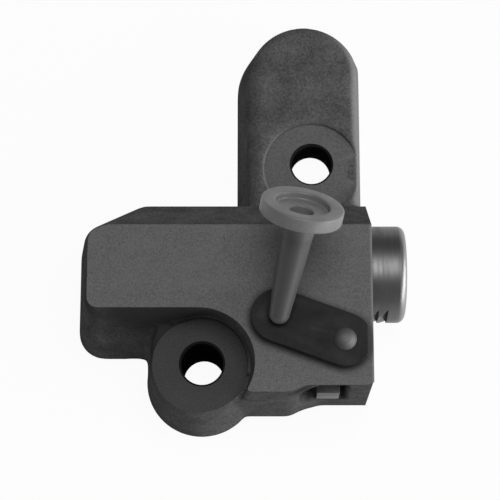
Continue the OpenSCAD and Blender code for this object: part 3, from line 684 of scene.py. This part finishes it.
def turned_steel(name, colour, axis, pitch=0.12 * MM, smooth=0.38, rough=0.5, tip_highlight=None):
    """Ground or turned steel with fine rings across one axis; tip_highlight is the plunger's settings for a
    painted highlight at its tip.
    """
    made, tree, shader, place = start_material(name)
    run = tuple(1.0 if part else TURNED_STRETCH for part in axis)
    lines = use_group(tree, "Tool Lines", Vector=place, Pitch=pitch, Run=run)
    sand = use_group(tree, "Sand Grain", Vector=place, Grain=0.5 * MM, Patch=5 * MM)
    streaked = tones(tree, lines["Streaks"], colour, 0.82, 1.12)
    patched = tint(tree, sand["Patches"], 0.35, streaked, shifted(colour, 0.72))
    # Painted highlight at the plunger's tip
    if tip_highlight is not None:
        tip = spread(tree, coordinate(tree, place, "X"), PLUNGER_HIGH.x - tip_highlight.highlight_from,
                     PLUNGER_HIGH.x - tip_highlight.highlight_to, 0, tip_highlight.highlit)
        patched = blend_colours(tree, tip, patched, shifted(colour, 2.6))
    plug(tree, shader.inputs["Base Color"], patched)
    plug(tree, shader.inputs["Roughness"], spread(tree, lines["Streaks"], 0, 1, rough, smooth))
    shader.inputs["Metallic"].default_value = 1.0
    bump(tree, shader, lines["Height"], distance=0.006 * MM)
    return made


def black_oxide(colour):
    """Black oxide on pressed steel: near-black, satin, paler where the edges are rubbed."""
    made, tree, shader, place = start_material("Black oxide")
    sand = use_group(tree, "Sand Grain", Vector=place, Grain=0.3 * MM, Patch=4 * MM)
    patched = tones(tree, sand["Patches"], colour, 0.8, 1.25)
    speckled = tint(tree, sand["Speckle"], 0.4, patched, shifted(colour, 1.5))
    rub = rubbed_edges(tree, place, width=0.12)
    rubbed = tint(tree, rub, 0.5, speckled, shifted(colour, 2.5))
    plug(tree, shader.inputs["Base Color"], rubbed)
    plug(tree, shader.inputs["Roughness"], spread(tree, sand["Patches"], 0, 1, 0.6, 0.46))
    shader.inputs["Specular IOR Level"].default_value = 0.12
    bump(tree, shader, sand["Height"], distance=0.02 * MM)
    return made


def moulded_plastic(name, colour, stem=None):
    """Moulded plastic: satin, with a faint flow mottle and a fine spark texture, and painted shade that darkens a
    stem below its head.
    """
    made, tree, shader, place = start_material(name)
    sand = use_group(tree, "Sand Grain", Vector=place, Grain=0.28 * MM, Patch=3.5 * MM)
    patched = tones(tree, sand["Patches"], colour, 0.88, 1.1)
    speckled = tint(tree, sand["Speckle"], 0.25, patched, shifted(colour, 1.3))
    # Painted shade: the stem is darker than the head, fading out just below it
    if stem:
        base, run, reach = stem
        start = base.dot(run)
        along = vectors(tree, "DOT_PRODUCT", place, run)
        shaded = spread(tree, along, start + reach * 0.8, start + reach, 1, 0)
        speckled = blend_colours(tree, shaded, speckled, shifted(colour, 0.38))
    plug(tree, shader.inputs["Base Color"], speckled)
    plug(tree, shader.inputs["Roughness"], spread(tree, sand["Patches"], 0, 1, 0.52, 0.4))
    shader.inputs["IOR"].default_value = 1.46
    bump(tree, shader, sand["Height"], distance=0.018 * MM)
    return made


# Housing


def bore_tool(name, material, origin, axis, profile):
    """A cutter turned about an axis from (along, radius) points."""
    bm = bmesh.new()
    lathe(bm, [(profile[0][0], 0), *profile, (profile[-1][0], 0)], origin, axis, ROUND_STEPS)
    return raw_object(name, bm, material)


def seat_height(settings, bolt):
    """Height of a bolt's seat: the plain bore and its chamfer."""
    return bolt["dims"]["length_mm"] * MM + settings.hole_chamfer


def bolt_tools(settings, bolt, seat_r, shift, top_z, faced, shaded_bore):
    """Cutters of a bolt hole with its chamfer and of the seat around it."""
    base = Vector(bolt["pos_m"])
    seat_z = seat_height(settings, bolt)
    hole_r = bolt["dims"]["r_mm"] * MM
    cut = settings.hole_chamfer
    profile = [(-settings.stock * 2, hole_r), (seat_z - cut, hole_r), (seat_z + cut, hole_r + 2 * cut)]
    hole = bore_tool(bolt["name"] + "_hole", shaded_bore, base, Z_AXIS, profile)
    face = bore_tool(bolt["name"] + "_seat", faced, base + Vector(shift), Z_AXIS,
                     [(seat_z, seat_r), (top_z, seat_r)])
    return [face, hole]


def face_tool(name, material, low, high):
    """A block that mills a face flat."""
    bm = bmesh.new()
    size = Vector(high) - Vector(low)
    middle = (Vector(high) + Vector(low)) / 2
    bmesh.ops.create_cube(bm, size=1, matrix=Matrix.Translation(middle) @ Matrix.Diagonal((*size, 1)))
    return raw_object(name, bm, material)


def shaft_bores(settings, pin, ratchet):
    """Base, radius and height range of the upright bores that take moving pieces."""
    clearance = settings.shaft_clearance
    pin_foot = Vector((pin_axis(pin).x, pin_axis(pin).y, 0))
    pivot = Vector((PIVOT.x, PIVOT.y, 0))
    deep = -2 * settings.stock
    high = PLATEAU_Z + 2 * settings.stock
    return [
        ("pivot_bore", pivot, ratchet.shaft_d / 2 + clearance, deep, high),
        ("spring_recess", pivot, settings.spring_room / 2, PLATEAU_Z - settings.spring_depth, high),
        ("clip_recess", pivot, settings.clip_room / 2, deep, settings.clip_depth),
        ("pin_bore", pin_foot, pin.stub_d / 2 + clearance, PIN_FOOT_Z - settings.pin_room, high),
    ]


def feed_axis(settings):
    """Foot of the oil feed hole, on the mounting face."""
    return Vector((VALVE_BACK_X - settings.feed_back, AXIS_Y, 0))


def round_bar(bm, base, axis, radius, low, high):
    """Adds a plain round bar along an axis through base, from low to high."""
    centre = base + axis * (low + high) / 2
    turn_to = axis.to_track_quat("Z", "Y").to_matrix().to_4x4()
    bmesh.ops.create_cone(bm, cap_ends=True, segments=FILL_STEPS, radius1=radius, radius2=radius,
                          depth=high - low, matrix=Matrix.Translation(centre) @ turn_to)


def rough_casting(settings, pin, ratchet):
    """The housing before machining: bores filled, stock on the faces and the lower boss."""
    bm = merged_copy("housing")
    over = settings.stock
    for normal, plane in ((-Z_AXIS, -HOUSING_LOW.z), (X_AXIS, NOSE_X), (Z_AXIS, PLATEAU_Z)):
        flat = [face for face in bm.faces if face.normal.dot(normal) > SQUARE
                and abs(face.calc_center_median().dot(normal) - plane) < 10 * NEAR]
        pull(bm, flat, normal * over)
    spare = settings.fill_overlap
    base = Vector((0, AXIS_Y, AXIS_Z))
    feed = feed_axis(settings)
    feed_r = settings.feed_d / 2
    round_bar(bm, base, X_AXIS, PLUNGER_R + spare, VALVE_BACK_X - spare, NOSE_X + over)
    round_bar(bm, base, X_AXIS, feed_r + spare, feed.x - feed_r - 2 * settings.feed_room, VALVE_BACK_X)
    round_bar(bm, feed, Z_AXIS, feed_r + spare, -over, AXIS_Z)
    for bolt in (LOWER_BOLT, UPPER_BOLT):
        round_bar(bm, Vector(bolt["pos_m"]), Z_AXIS, bolt["dims"]["r_mm"] * MM + 2 * spare, -over,
                  seat_height(settings, bolt) + over)
    for _, foot, radius, low, high in shaft_bores(settings, pin, ratchet):
        round_bar(bm, foot, Z_AXIS, radius + spare, max(low, -over), min(high, PLATEAU_Z + over))
    rim = Vector(LOWER_BOLT["pos_m"]) - Vector((settings.seat_shift, settings.seat_shift, 0)) / 2
    inside_rim = settings.boss_r - 0.7 * settings.seat_shift
    seat_z = seat_height(settings, LOWER_BOLT)
    round_bar(bm, rim, Z_AXIS, inside_rim, seat_z - 2 * spare, seat_z + over)
    root = Vector(settings.boss_root)
    bmesh.ops.create_cone(bm, cap_ends=True, segments=ROUND_STEPS, radius1=settings.boss_foot_r,
                          radius2=settings.boss_r, depth=root.z,
                          matrix=Matrix.Translation((root.x, root.y, root.z / 2)))
    return bm


class TENSIONER_OT_housing(bpy.types.Operator):
    """Casts the housing with soft edges, then machines its faces, seats and bores"""

    bl_idname = "tensioner.housing"
    bl_label = "Housing"

    def execute(self, context):
        scene = context.scene
        settings, pin, ratchet = scene.tensioner_casting, scene.tensioner_pin, scene.tensioner_ratchet
        skin = cast_skin(settings)
        milled = machined_iron(settings, "Machined iron", settings.milled)
        # The bores' near-black colour is painted shade inside the holes
        shaded_bore = machined_iron(settings, "Shaded bore", settings.bore, shine=0.0)
        casting = raw_object("housing_casting", rough_casting(settings, pin, ratchet), skin)
        remesh = casting.modifiers.new("Cast skin", "REMESH")
        remesh.mode = "VOXEL"
        remesh.voxel_size = settings.voxel
        bake_modifiers(casting)
        round_edges(casting, settings)
        over = settings.stock * 3
        low, high = HOUSING_LOW - Vector((over,) * 3), HOUSING_HIGH + Vector((over,) * 3)
        tools = [
            face_tool("mounting_face", milled, low, (high.x, high.y, HOUSING_LOW.z)),
            face_tool("nose_face", milled, (NOSE_X, low.y, low.z), high),
            face_tool("plateau", milled, (low.x, low.y, PLATEAU_Z), high),
        ]
        lower_top = seat_height(settings, LOWER_BOLT) + 1.2 * settings.stock
        aside, down = -settings.seat_shift, -settings.lug_seat_low
        seats = (
            (LOWER_BOLT, settings.seat_d / 2, (aside, aside, 0), lower_top, settings.dark_seat),
            (UPPER_BOLT, settings.lug_seat_d / 2, (0, down, 0), PLATEAU_Z, settings.lug_seat),
        )
        for bolt, radius, shift, top, colour in seats:
            faced = machined_iron(settings, "Faced iron of " + bolt["name"], colour, Vector(bolt["pos_m"]))
            tools += bolt_tools(settings, bolt, radius, shift, top, faced, shaded_bore)
        for name, foot, radius, start, end in shaft_bores(settings, pin, ratchet):
            tools.append(bore_tool(name, shaded_bore, foot, Z_AXIS, [(start, radius), (end, radius)]))
        base = Vector((0, AXIS_Y, AXIS_Z))
        bore_r = PLUNGER_R + settings.bore_clearance
        feed, feed_r, room = feed_axis(settings), settings.feed_d / 2, settings.feed_room
        chamber_r = feed_r + room / 2
        tools += [
            bore_tool("plunger_bore", shaded_bore, base, X_AXIS,
                      [(VALVE_BACK_X - settings.bore_room, bore_r), (high.x, bore_r)]),
            bore_tool("feed_chamber", shaded_bore, base, X_AXIS,
                      [(feed.x - feed_r - room, chamber_r), (VALVE_BACK_X + room, chamber_r)]),
            bore_tool("feed_hole", shaded_bore, feed, Z_AXIS, [(low.z, feed_r), (AXIS_Z, feed_r)]),
        ]
        combine(casting, tools, "DIFFERENCE")
        shade(casting, degrees=40)
        seat(casting, "housing", "casting", "housing")
        return {"FINISHED"}


def round_edges(casting, settings):
    """Rounds the cast edges, the lug and the boss's corner more than the rest."""
    bm = bmesh.new()
    bm.from_mesh(casting.data)
    lug = [vert for vert in bm.verts if vert.co.y > lug_root(settings)]
    corner = [vert for vert in bm.verts
              if (vert.co.xy - Vector(settings.corner).xy).length < settings.corner_r]
    rounds = ((bm.verts, settings.soft_passes), (lug, settings.lug_passes), (corner, settings.corner_passes))
    for verts, passes in rounds:
        for _ in range(passes):
            bmesh.ops.smooth_vert(bm, verts=verts, factor=0.5, use_axis_x=True, use_axis_y=True,
                                  use_axis_z=True)
    bm.to_mesh(casting.data)
    bm.free()


# Plunger


def rack_tool(settings, material):
    """A cutter with saw teeth: square faces away from the tip, slopes towards it."""
    bm = bmesh.new()
    tip_y = AXIS_Y - PLUNGER_R + settings.rack_land
    outside = AXIS_Y - 2 * PLUNGER_R
    half = PLUNGER_R * 1.2
    end = PLUNGER_HIGH.x - settings.rack_start
    first = end - settings.rack_teeth * settings.rack_pitch
    outline = [(first, outside)]
    for tooth in range(settings.rack_teeth):
        outline += [(first + tooth * settings.rack_pitch, tip_y),
                    (first + (tooth + 1) * settings.rack_pitch, tip_y + settings.rack_depth)]
    outline.append((end, outside))
    face = bm.faces.new([bm.verts.new((x, y, AXIS_Z - half)) for x, y in outline])
    pull(bm, [face], Z_AXIS * 2 * half, keep=True)
    bmesh.ops.recalc_face_normals(bm, faces=bm.faces)
    return raw_object("rack_tool", bm, material)


class TENSIONER_OT_plunger(bpy.types.Operator):
    """Turns the plunger, rounds its tip and cuts the rack"""

    bl_idname = "tensioner.plunger"
    bl_label = "Plunger"

    def execute(self, context):
        settings = context.scene.tensioner_plunger
        # The plunger's tip gets a painted highlight
        steel = turned_steel("Ground steel", settings.steel, X_AXIS, tip_highlight=settings)
        base = Vector((PLUNGER_LOW.x, AXIS_Y, AXIS_Z))
        whole = PLUNGER_HIGH.x - PLUNGER_LOW.x
        rim = whole - settings.tip_dome
        hole_r, bleed_r = settings.hole_d / 2, settings.bleed_d / 2
        floor = whole - settings.closed_end
        bm = bmesh.new()
        profile = [(0, hole_r), (0, PLUNGER_R), (rim, PLUNGER_R), (whole, bleed_r), (floor, bleed_r),
                   (floor, hole_r)]
        lathe(bm, profile, base, X_AXIS, PLUNGER_STEPS, closed=True)
        soften(bm, rings(bm, base, X_AXIS, rim, PLUNGER_R), settings.tip_round, segments=8)
        back = rings(bm, base, X_AXIS, 0, PLUNGER_R) + rings(bm, base, X_AXIS, 0, hole_r)
        soften(bm, back, settings.edge * 3)
        plunger = raw_object("plunger_ground", bm, steel)
        combine(plunger, [rack_tool(settings, steel)], "DIFFERENCE")
        shade(plunger)
        seat(plunger, "plunger", "ground_steel", "plunger")
        return {"FINISHED"}


# Ratchet


class TENSIONER_OT_ratchet(bpy.types.Operator):
    """Makes the pivot shaft with its rivet head, the pawl and the retaining clip"""

    bl_idname = "tensioner.ratchet"
    bl_label = "Pawl, shaft and clip"

    def execute(self, context):
        settings = context.scene.tensioner_ratchet
        bright = turned_steel("Bright steel", settings.bright, Z_AXIS, pitch=0.2 * MM, smooth=0.62,
                              rough=0.75)
        rows = (
            ("pawl", "pawl_hardened", "ground_steel", settings.edge),
            ("retaining_clip", "clip_pressed", "spring_steel", settings.edge / 3),
            ("pivot_shaft", "shaft_riveted", "ground_steel", settings.edge / 3),
        )
        for node, name, slot, edge in rows:
            bm = merged_copy(node)
            soften(bm, sharp_edges(bm), edge, segments=2)
            piece = raw_object(name, bm, bright)
            shade(piece)
            seat(piece, "lever", slot, node)
        return {"FINISHED"}


class TENSIONER_OT_lever(bpy.types.Operator):
    """Presses the stop lever, with its slot for the lock pin"""

    bl_idname = "tensioner.lever"
    bl_label = "Stop lever"

    def execute(self, context):
        settings = context.scene.tensioner_ratchet
        oxide = black_oxide(settings.oxide)
        bm = merged_copy("stop_lever")
        soften(bm, sharp_edges(bm, degrees=50), settings.edge)
        lever = raw_object("stop_lever_pressed", bm, oxide)
        shade(lever)
        seat(lever, "lever", "dark_steel", "stop_lever")
        return {"FINISHED"}


# Lock pin


def pin_axis(pin):
    """Foot of the lock pin's stub axis, at the height of the lever's pivot."""
    return PIVOT + pin.reach * Vector((-math.cos(pin.angle), math.sin(pin.angle), 0))


class TENSIONER_OT_lock_pin(bpy.types.Operator):
    """Moulds the lock pin: stub, ball bend, tapered stem and dished head"""

    bl_idname = "tensioner.lock_pin"
    bl_label = "Lock pin"

    def execute(self, context):
        pin = context.scene.tensioner_pin
        foot = pin_axis(pin)
        bend = Vector((foot.x, foot.y, LEVER_TOP_Z + pin.stem_d / 2 + pin.bend_gap))
        lean = Vector((math.sin(pin.lean) * math.cos(pin.heading), math.sin(pin.lean) * math.sin(pin.heading),
                       math.cos(pin.lean)))
        # The pin's stem gets painted shade
        plastic = moulded_plastic("Pin plastic", pin.plastic, (bend, lean, pin.stem_len))
        piece = raw_object("lock_pin_moulded", self.stem(pin, bend, lean), plastic)
        combine(piece, [raw_object("stub", self.stub(pin, bend), plastic)], "UNION")
        shade(piece, degrees=40)
        seat(piece, "lock_pin", "pin_plastic", "lock_pin")
        return {"FINISHED"}

    def stem(self, pin, bend, lean):
        """Stem with a round foot and a dished head, leaning from the bend."""
        foot_r, under_r, head_r = pin.stem_d / 2, pin.stem_top_d / 2, pin.head_d / 2
        dish_r, hole_r = pin.dish_d / 2, pin.hole_d / 2
        top = pin.stem_len + pin.head_t
        floor = top - pin.dish_depth
        bottom = floor - pin.hole_depth
        ball = [(-foot_r * math.cos(math.radians(step)), foot_r * math.sin(math.radians(step)))
                for step in range(0, 90, 10)]
        head = [(pin.stem_len, head_r), (top, head_r), (top, dish_r), (floor, dish_r), (floor, hole_r)]
        bm = bmesh.new()
        lathe(bm, [*ball, (0, foot_r), (pin.stem_len, under_r), *head, (bottom, hole_r), (bottom, 0)],
              bend, lean, ROUND_STEPS)
        soften(bm, rings(bm, bend, lean, pin.stem_len, under_r), pin.neck, segments=6)
        for run, radius in head:
            soften(bm, rings(bm, bend, lean, run, radius), pin.edge, segments=4)
        return bm

    def stub(self, pin, bend):
        """Upright stub with a rounded end."""
        bm = bmesh.new()
        base = Vector((bend.x, bend.y, PIN_FOOT_Z))
        high = bend.z - PIN_FOOT_Z
        stub_r = pin.stub_d / 2
        lathe(bm, [(0, 0), (0, stub_r), (high, stub_r), (high, 0)], base, Z_AXIS, STUB_STEPS)
        soften(bm, rings(bm, base, Z_AXIS, 0, stub_r), pin.edge)
        return bm


# Springs and valve


def coil(bm, base, axis, mean_d, wire, turns, height, leg, steps=36, sides=12):
    """Winds round wire in an empty bmesh, from base along an axis, with a straight leg at its end."""
    out = X_AXIS if axis.dot(Z_AXIS) else Z_AXIS
    start = base + axis * wire / 2 + out * mean_d / 2
    along = out.cross(axis).normalized()
    facing = Matrix((out, axis, along)).transposed().to_4x4()
    ring = bmesh.ops.create_circle(bm, segments=sides, radius=wire / 2,
                                   matrix=Matrix.Translation(start) @ facing)
    count = turns * steps
    bmesh.ops.spin(bm, geom=ring["verts"] + list(bm.edges), cent=base, axis=axis,
                   dvec=axis * (height - leg - wire) / count, angle=FULL_TURN * turns, steps=count)
    bmesh.ops.holes_fill(bm, edges=[edge for edge in bm.edges if edge.is_boundary], sides=sides)
    if leg:
        round_bar(bm, base + out * mean_d / 2, axis, wire / 2, height - leg - wire / 2, height)
    bmesh.ops.recalc_face_normals(bm, faces=bm.faces)


class TENSIONER_OT_springs(bpy.types.Operator):
    """Winds the plunger, lever and ball springs, each as long as its packed node along its axis"""

    bl_idname = "tensioner.springs"
    bl_label = "Springs"

    def execute(self, context):
        settings = context.scene.tensioner_springs
        wire = turned_steel("Spring wire", settings.wire, X_AXIS, pitch=0.3 * MM, smooth=0.3, rough=0.42)
        axis = Vector((0, AXIS_Y, AXIS_Z))
        rows = (
            ("plunger_spring", "plunger", X_AXIS, axis, settings.plunger_coil_d, settings.plunger_wire,
             settings.plunger_turns, 0),
            ("lever_spring", "lever", Z_AXIS, Vector((PIVOT.x, PIVOT.y, 0)), settings.lever_coil_d,
             settings.lever_wire, settings.lever_turns, settings.lever_leg),
            ("ball_spring", "check_ball", -X_AXIS, axis, settings.ball_coil_d, settings.ball_wire,
             settings.ball_turns, 0),
        )
        for node, body, run, line, mean_d, thick, turns, leg in rows:
            low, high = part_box(node)
            start, end = (low, high) if run.dot(Vector((1, 1, 1))) > 0 else (high, low)
            base = line + run * (start - line).dot(run)
            far = line + run * (end - line).dot(run)
            bm = bmesh.new()
            coil(bm, base, run, mean_d, thick, turns, (far - base).length, leg)
            piece = raw_object(node + "_wound", bm, wire)
            shade(piece, degrees=60)
            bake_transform(piece)
            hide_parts(node)
        return {"FINISHED"}


class TENSIONER_OT_valve(bpy.types.Operator):
    """Finishes the check valve and the vent disc inside the bore"""

    bl_idname = "tensioner.valve"
    bl_label = "Check valve"

    def execute(self, context):
        scene = context.scene
        steel = turned_steel("Valve steel", scene.tensioner_plunger.steel, X_AXIS, pitch=0.2 * MM,
                             smooth=0.2, rough=0.34)
        disc = moulded_plastic("Disc plastic", scene.tensioner_springs.disc)
        for node in ("valve_seat", "check_ball", "ball_cage"):
            finish_node(node, steel)
        finish_node("vent_disc", disc)
        return {"FINISHED"}


def finish_node(node, material):
    """Gives a packed node that is shown as it is a better material."""
    mesh = frame["nodes"][node].data
    if not mesh.materials:
        mesh.materials.append(material)
    for index in range(len(mesh.materials)):
        mesh.materials[index] = material


# Stage


class TENSIONER_OT_stage(bpy.types.Operator):
    """Sets the camera, the pale floor, the lamps and the room"""

    bl_idname = "tensioner.stage"
    bl_label = "Stage"

    def execute(self, context):
        stage = context.scene.tensioner_stage
        self.camera(context, stage)
        self.floor(stage)
        self.lamp("key_lamp", stage, stage.key_power, (stage.key_size, stage.key_size),
                  stage.key_azimuth, stage.key_elevation)
        self.lamp("edge_lamp", stage, stage.edge_power, (stage.edge_size, stage.edge_height),
                  stage.edge_azimuth, stage.edge_elevation)
        self.room(context, stage)
        context.scene.view_settings.view_transform = "Standard"
        return {"FINISHED"}

    def camera(self, context, stage):
        """Camera at the photograph's angle."""
        data = bpy.data.cameras.new("camera")
        data.lens = stage.lens
        data.sensor_width = SENSOR_WIDTH
        data.clip_start = 10 * MM
        made = bpy.data.objects.new("camera", data)
        back = Vector((0, -math.cos(stage.elevation), math.sin(stage.elevation)))
        made.location = Vector(stage.target) + back * stage.distance
        made.rotation_euler = (math.pi / 2 - stage.elevation, 0, 0)
        context.scene.collection.objects.link(made)
        context.scene.camera = made

    def floor(self, stage):
        """Pale floor under the mounting face; the camera sees it nearly white, with a soft shadow."""
        made, tree, shader, place = start_material("Pale floor")
        mottle = noise(tree, place, scale=6.0, detail=2.0)
        plug(tree, shader.inputs["Base Color"], tones(tree, mottle, stage.floor, 0.99, 1.01))
        shader.inputs["Roughness"].default_value = 0.9
        shader.inputs["Specular IOR Level"].default_value = 0.0
        light = tree.nodes.new("ShaderNodeLightPath").outputs
        seen = maths(tree, "MAXIMUM", light["Is Camera Ray"],
                     maths(tree, "MAXIMUM", light["Is Glossy Ray"], light["Is Transmission Ray"]))
        white = add_node(tree, "ShaderNodeEmission", None, Color=(1, 1, 1, 1), Strength=1.0)
        mix = tree.nodes.new("ShaderNodeMixShader")
        plug(tree, mix.inputs[0], maths(tree, "MULTIPLY", seen, stage.floor_glow))
        plug(tree, mix.inputs[1], shader.outputs[0])
        plug(tree, mix.inputs[2], white.outputs[0])
        out = next(node for node in tree.nodes if node.type == "OUTPUT_MATERIAL")
        plug(tree, out.inputs["Surface"], mix.outputs[0])
        bm = bmesh.new()
        bmesh.ops.create_circle(bm, cap_ends=True, segments=ROUND_STEPS, radius=stage.floor_r,
                                matrix=Matrix.Translation((0, 0, HOUSING_LOW.z - stage.floor_gap)))
        raw_object("floor", bm, made)

    def lamp(self, name, stage, power, size, azimuth, elevation):
        """A soft lamp round the target: width and height, azimuth from +X towards +Y, then elevation."""
        data = bpy.data.lights.new(name, "AREA")
        data.energy = power
        data.shape = "RECTANGLE"
        data.size, data.size_y = size
        made = bpy.data.objects.new(name, data)
        level = math.cos(elevation)
        back = Vector((math.cos(azimuth) * level, math.sin(azimuth) * level, math.sin(elevation)))
        made.location = Vector(stage.target) + back * stage.lamp_distance
        made.rotation_euler = back.to_track_quat("Z", "Y").to_euler()
        bpy.context.scene.collection.objects.link(made)

    def room(self, context, stage):
        """Plain grey room."""
        world = bpy.data.worlds.new("room")
        world.use_nodes = True
        back = next(node for node in world.node_tree.nodes if node.type == "BACKGROUND")
        back.inputs["Color"].default_value = (*stage.room, 1)
        back.inputs["Strength"].default_value = 1.0
        context.scene.world = world


OPERATORS = (
    TENSIONER_OT_stage,
    TENSIONER_OT_housing,
    TENSIONER_OT_plunger,
    TENSIONER_OT_lever,
    TENSIONER_OT_ratchet,
    TENSIONER_OT_lock_pin,
    TENSIONER_OT_springs,
    TENSIONER_OT_valve,
)


class TENSIONER_PT_panel(bpy.types.Panel):
    """Lists the pieces and their sizes"""

    bl_label = "Chain Tensioner"
    bl_space_type = "VIEW_3D"
    bl_region_type = "UI"
    bl_category = "Tensioner"

    def draw(self, context):
        column = self.layout.column()
        for operator in OPERATORS:
            column.operator(operator.bl_idname)
        for attribute, group in SETTINGS.items():
            box = self.layout.box()
            box.label(text=group.__doc__)
            for key in group.__annotations__:
                box.prop(getattr(context.scene, attribute), key)


def register():
    """Registers the settings, the operators and the panel."""
    for attribute, group in SETTINGS.items():
        bpy.utils.register_class(group)
        setattr(bpy.types.Scene, attribute, PointerProperty(type=group))
    for made in (*OPERATORS, TENSIONER_PT_panel):
        bpy.utils.register_class(made)


def unregister():
    """Undoes register."""
    for made in (TENSIONER_PT_panel, *reversed(OPERATORS)):
        bpy.utils.unregister_class(made)
    for attribute, group in SETTINGS.items():
        delattr(bpy.types.Scene, attribute)
        bpy.utils.unregister_class(group)


def main():
    """Registers the classes and makes every piece."""
    register()
    for operator in OPERATORS:
        group, name = operator.bl_idname.split(".")
        getattr(getattr(bpy.ops, group), name)()


if __name__ == "__main__":
    main()
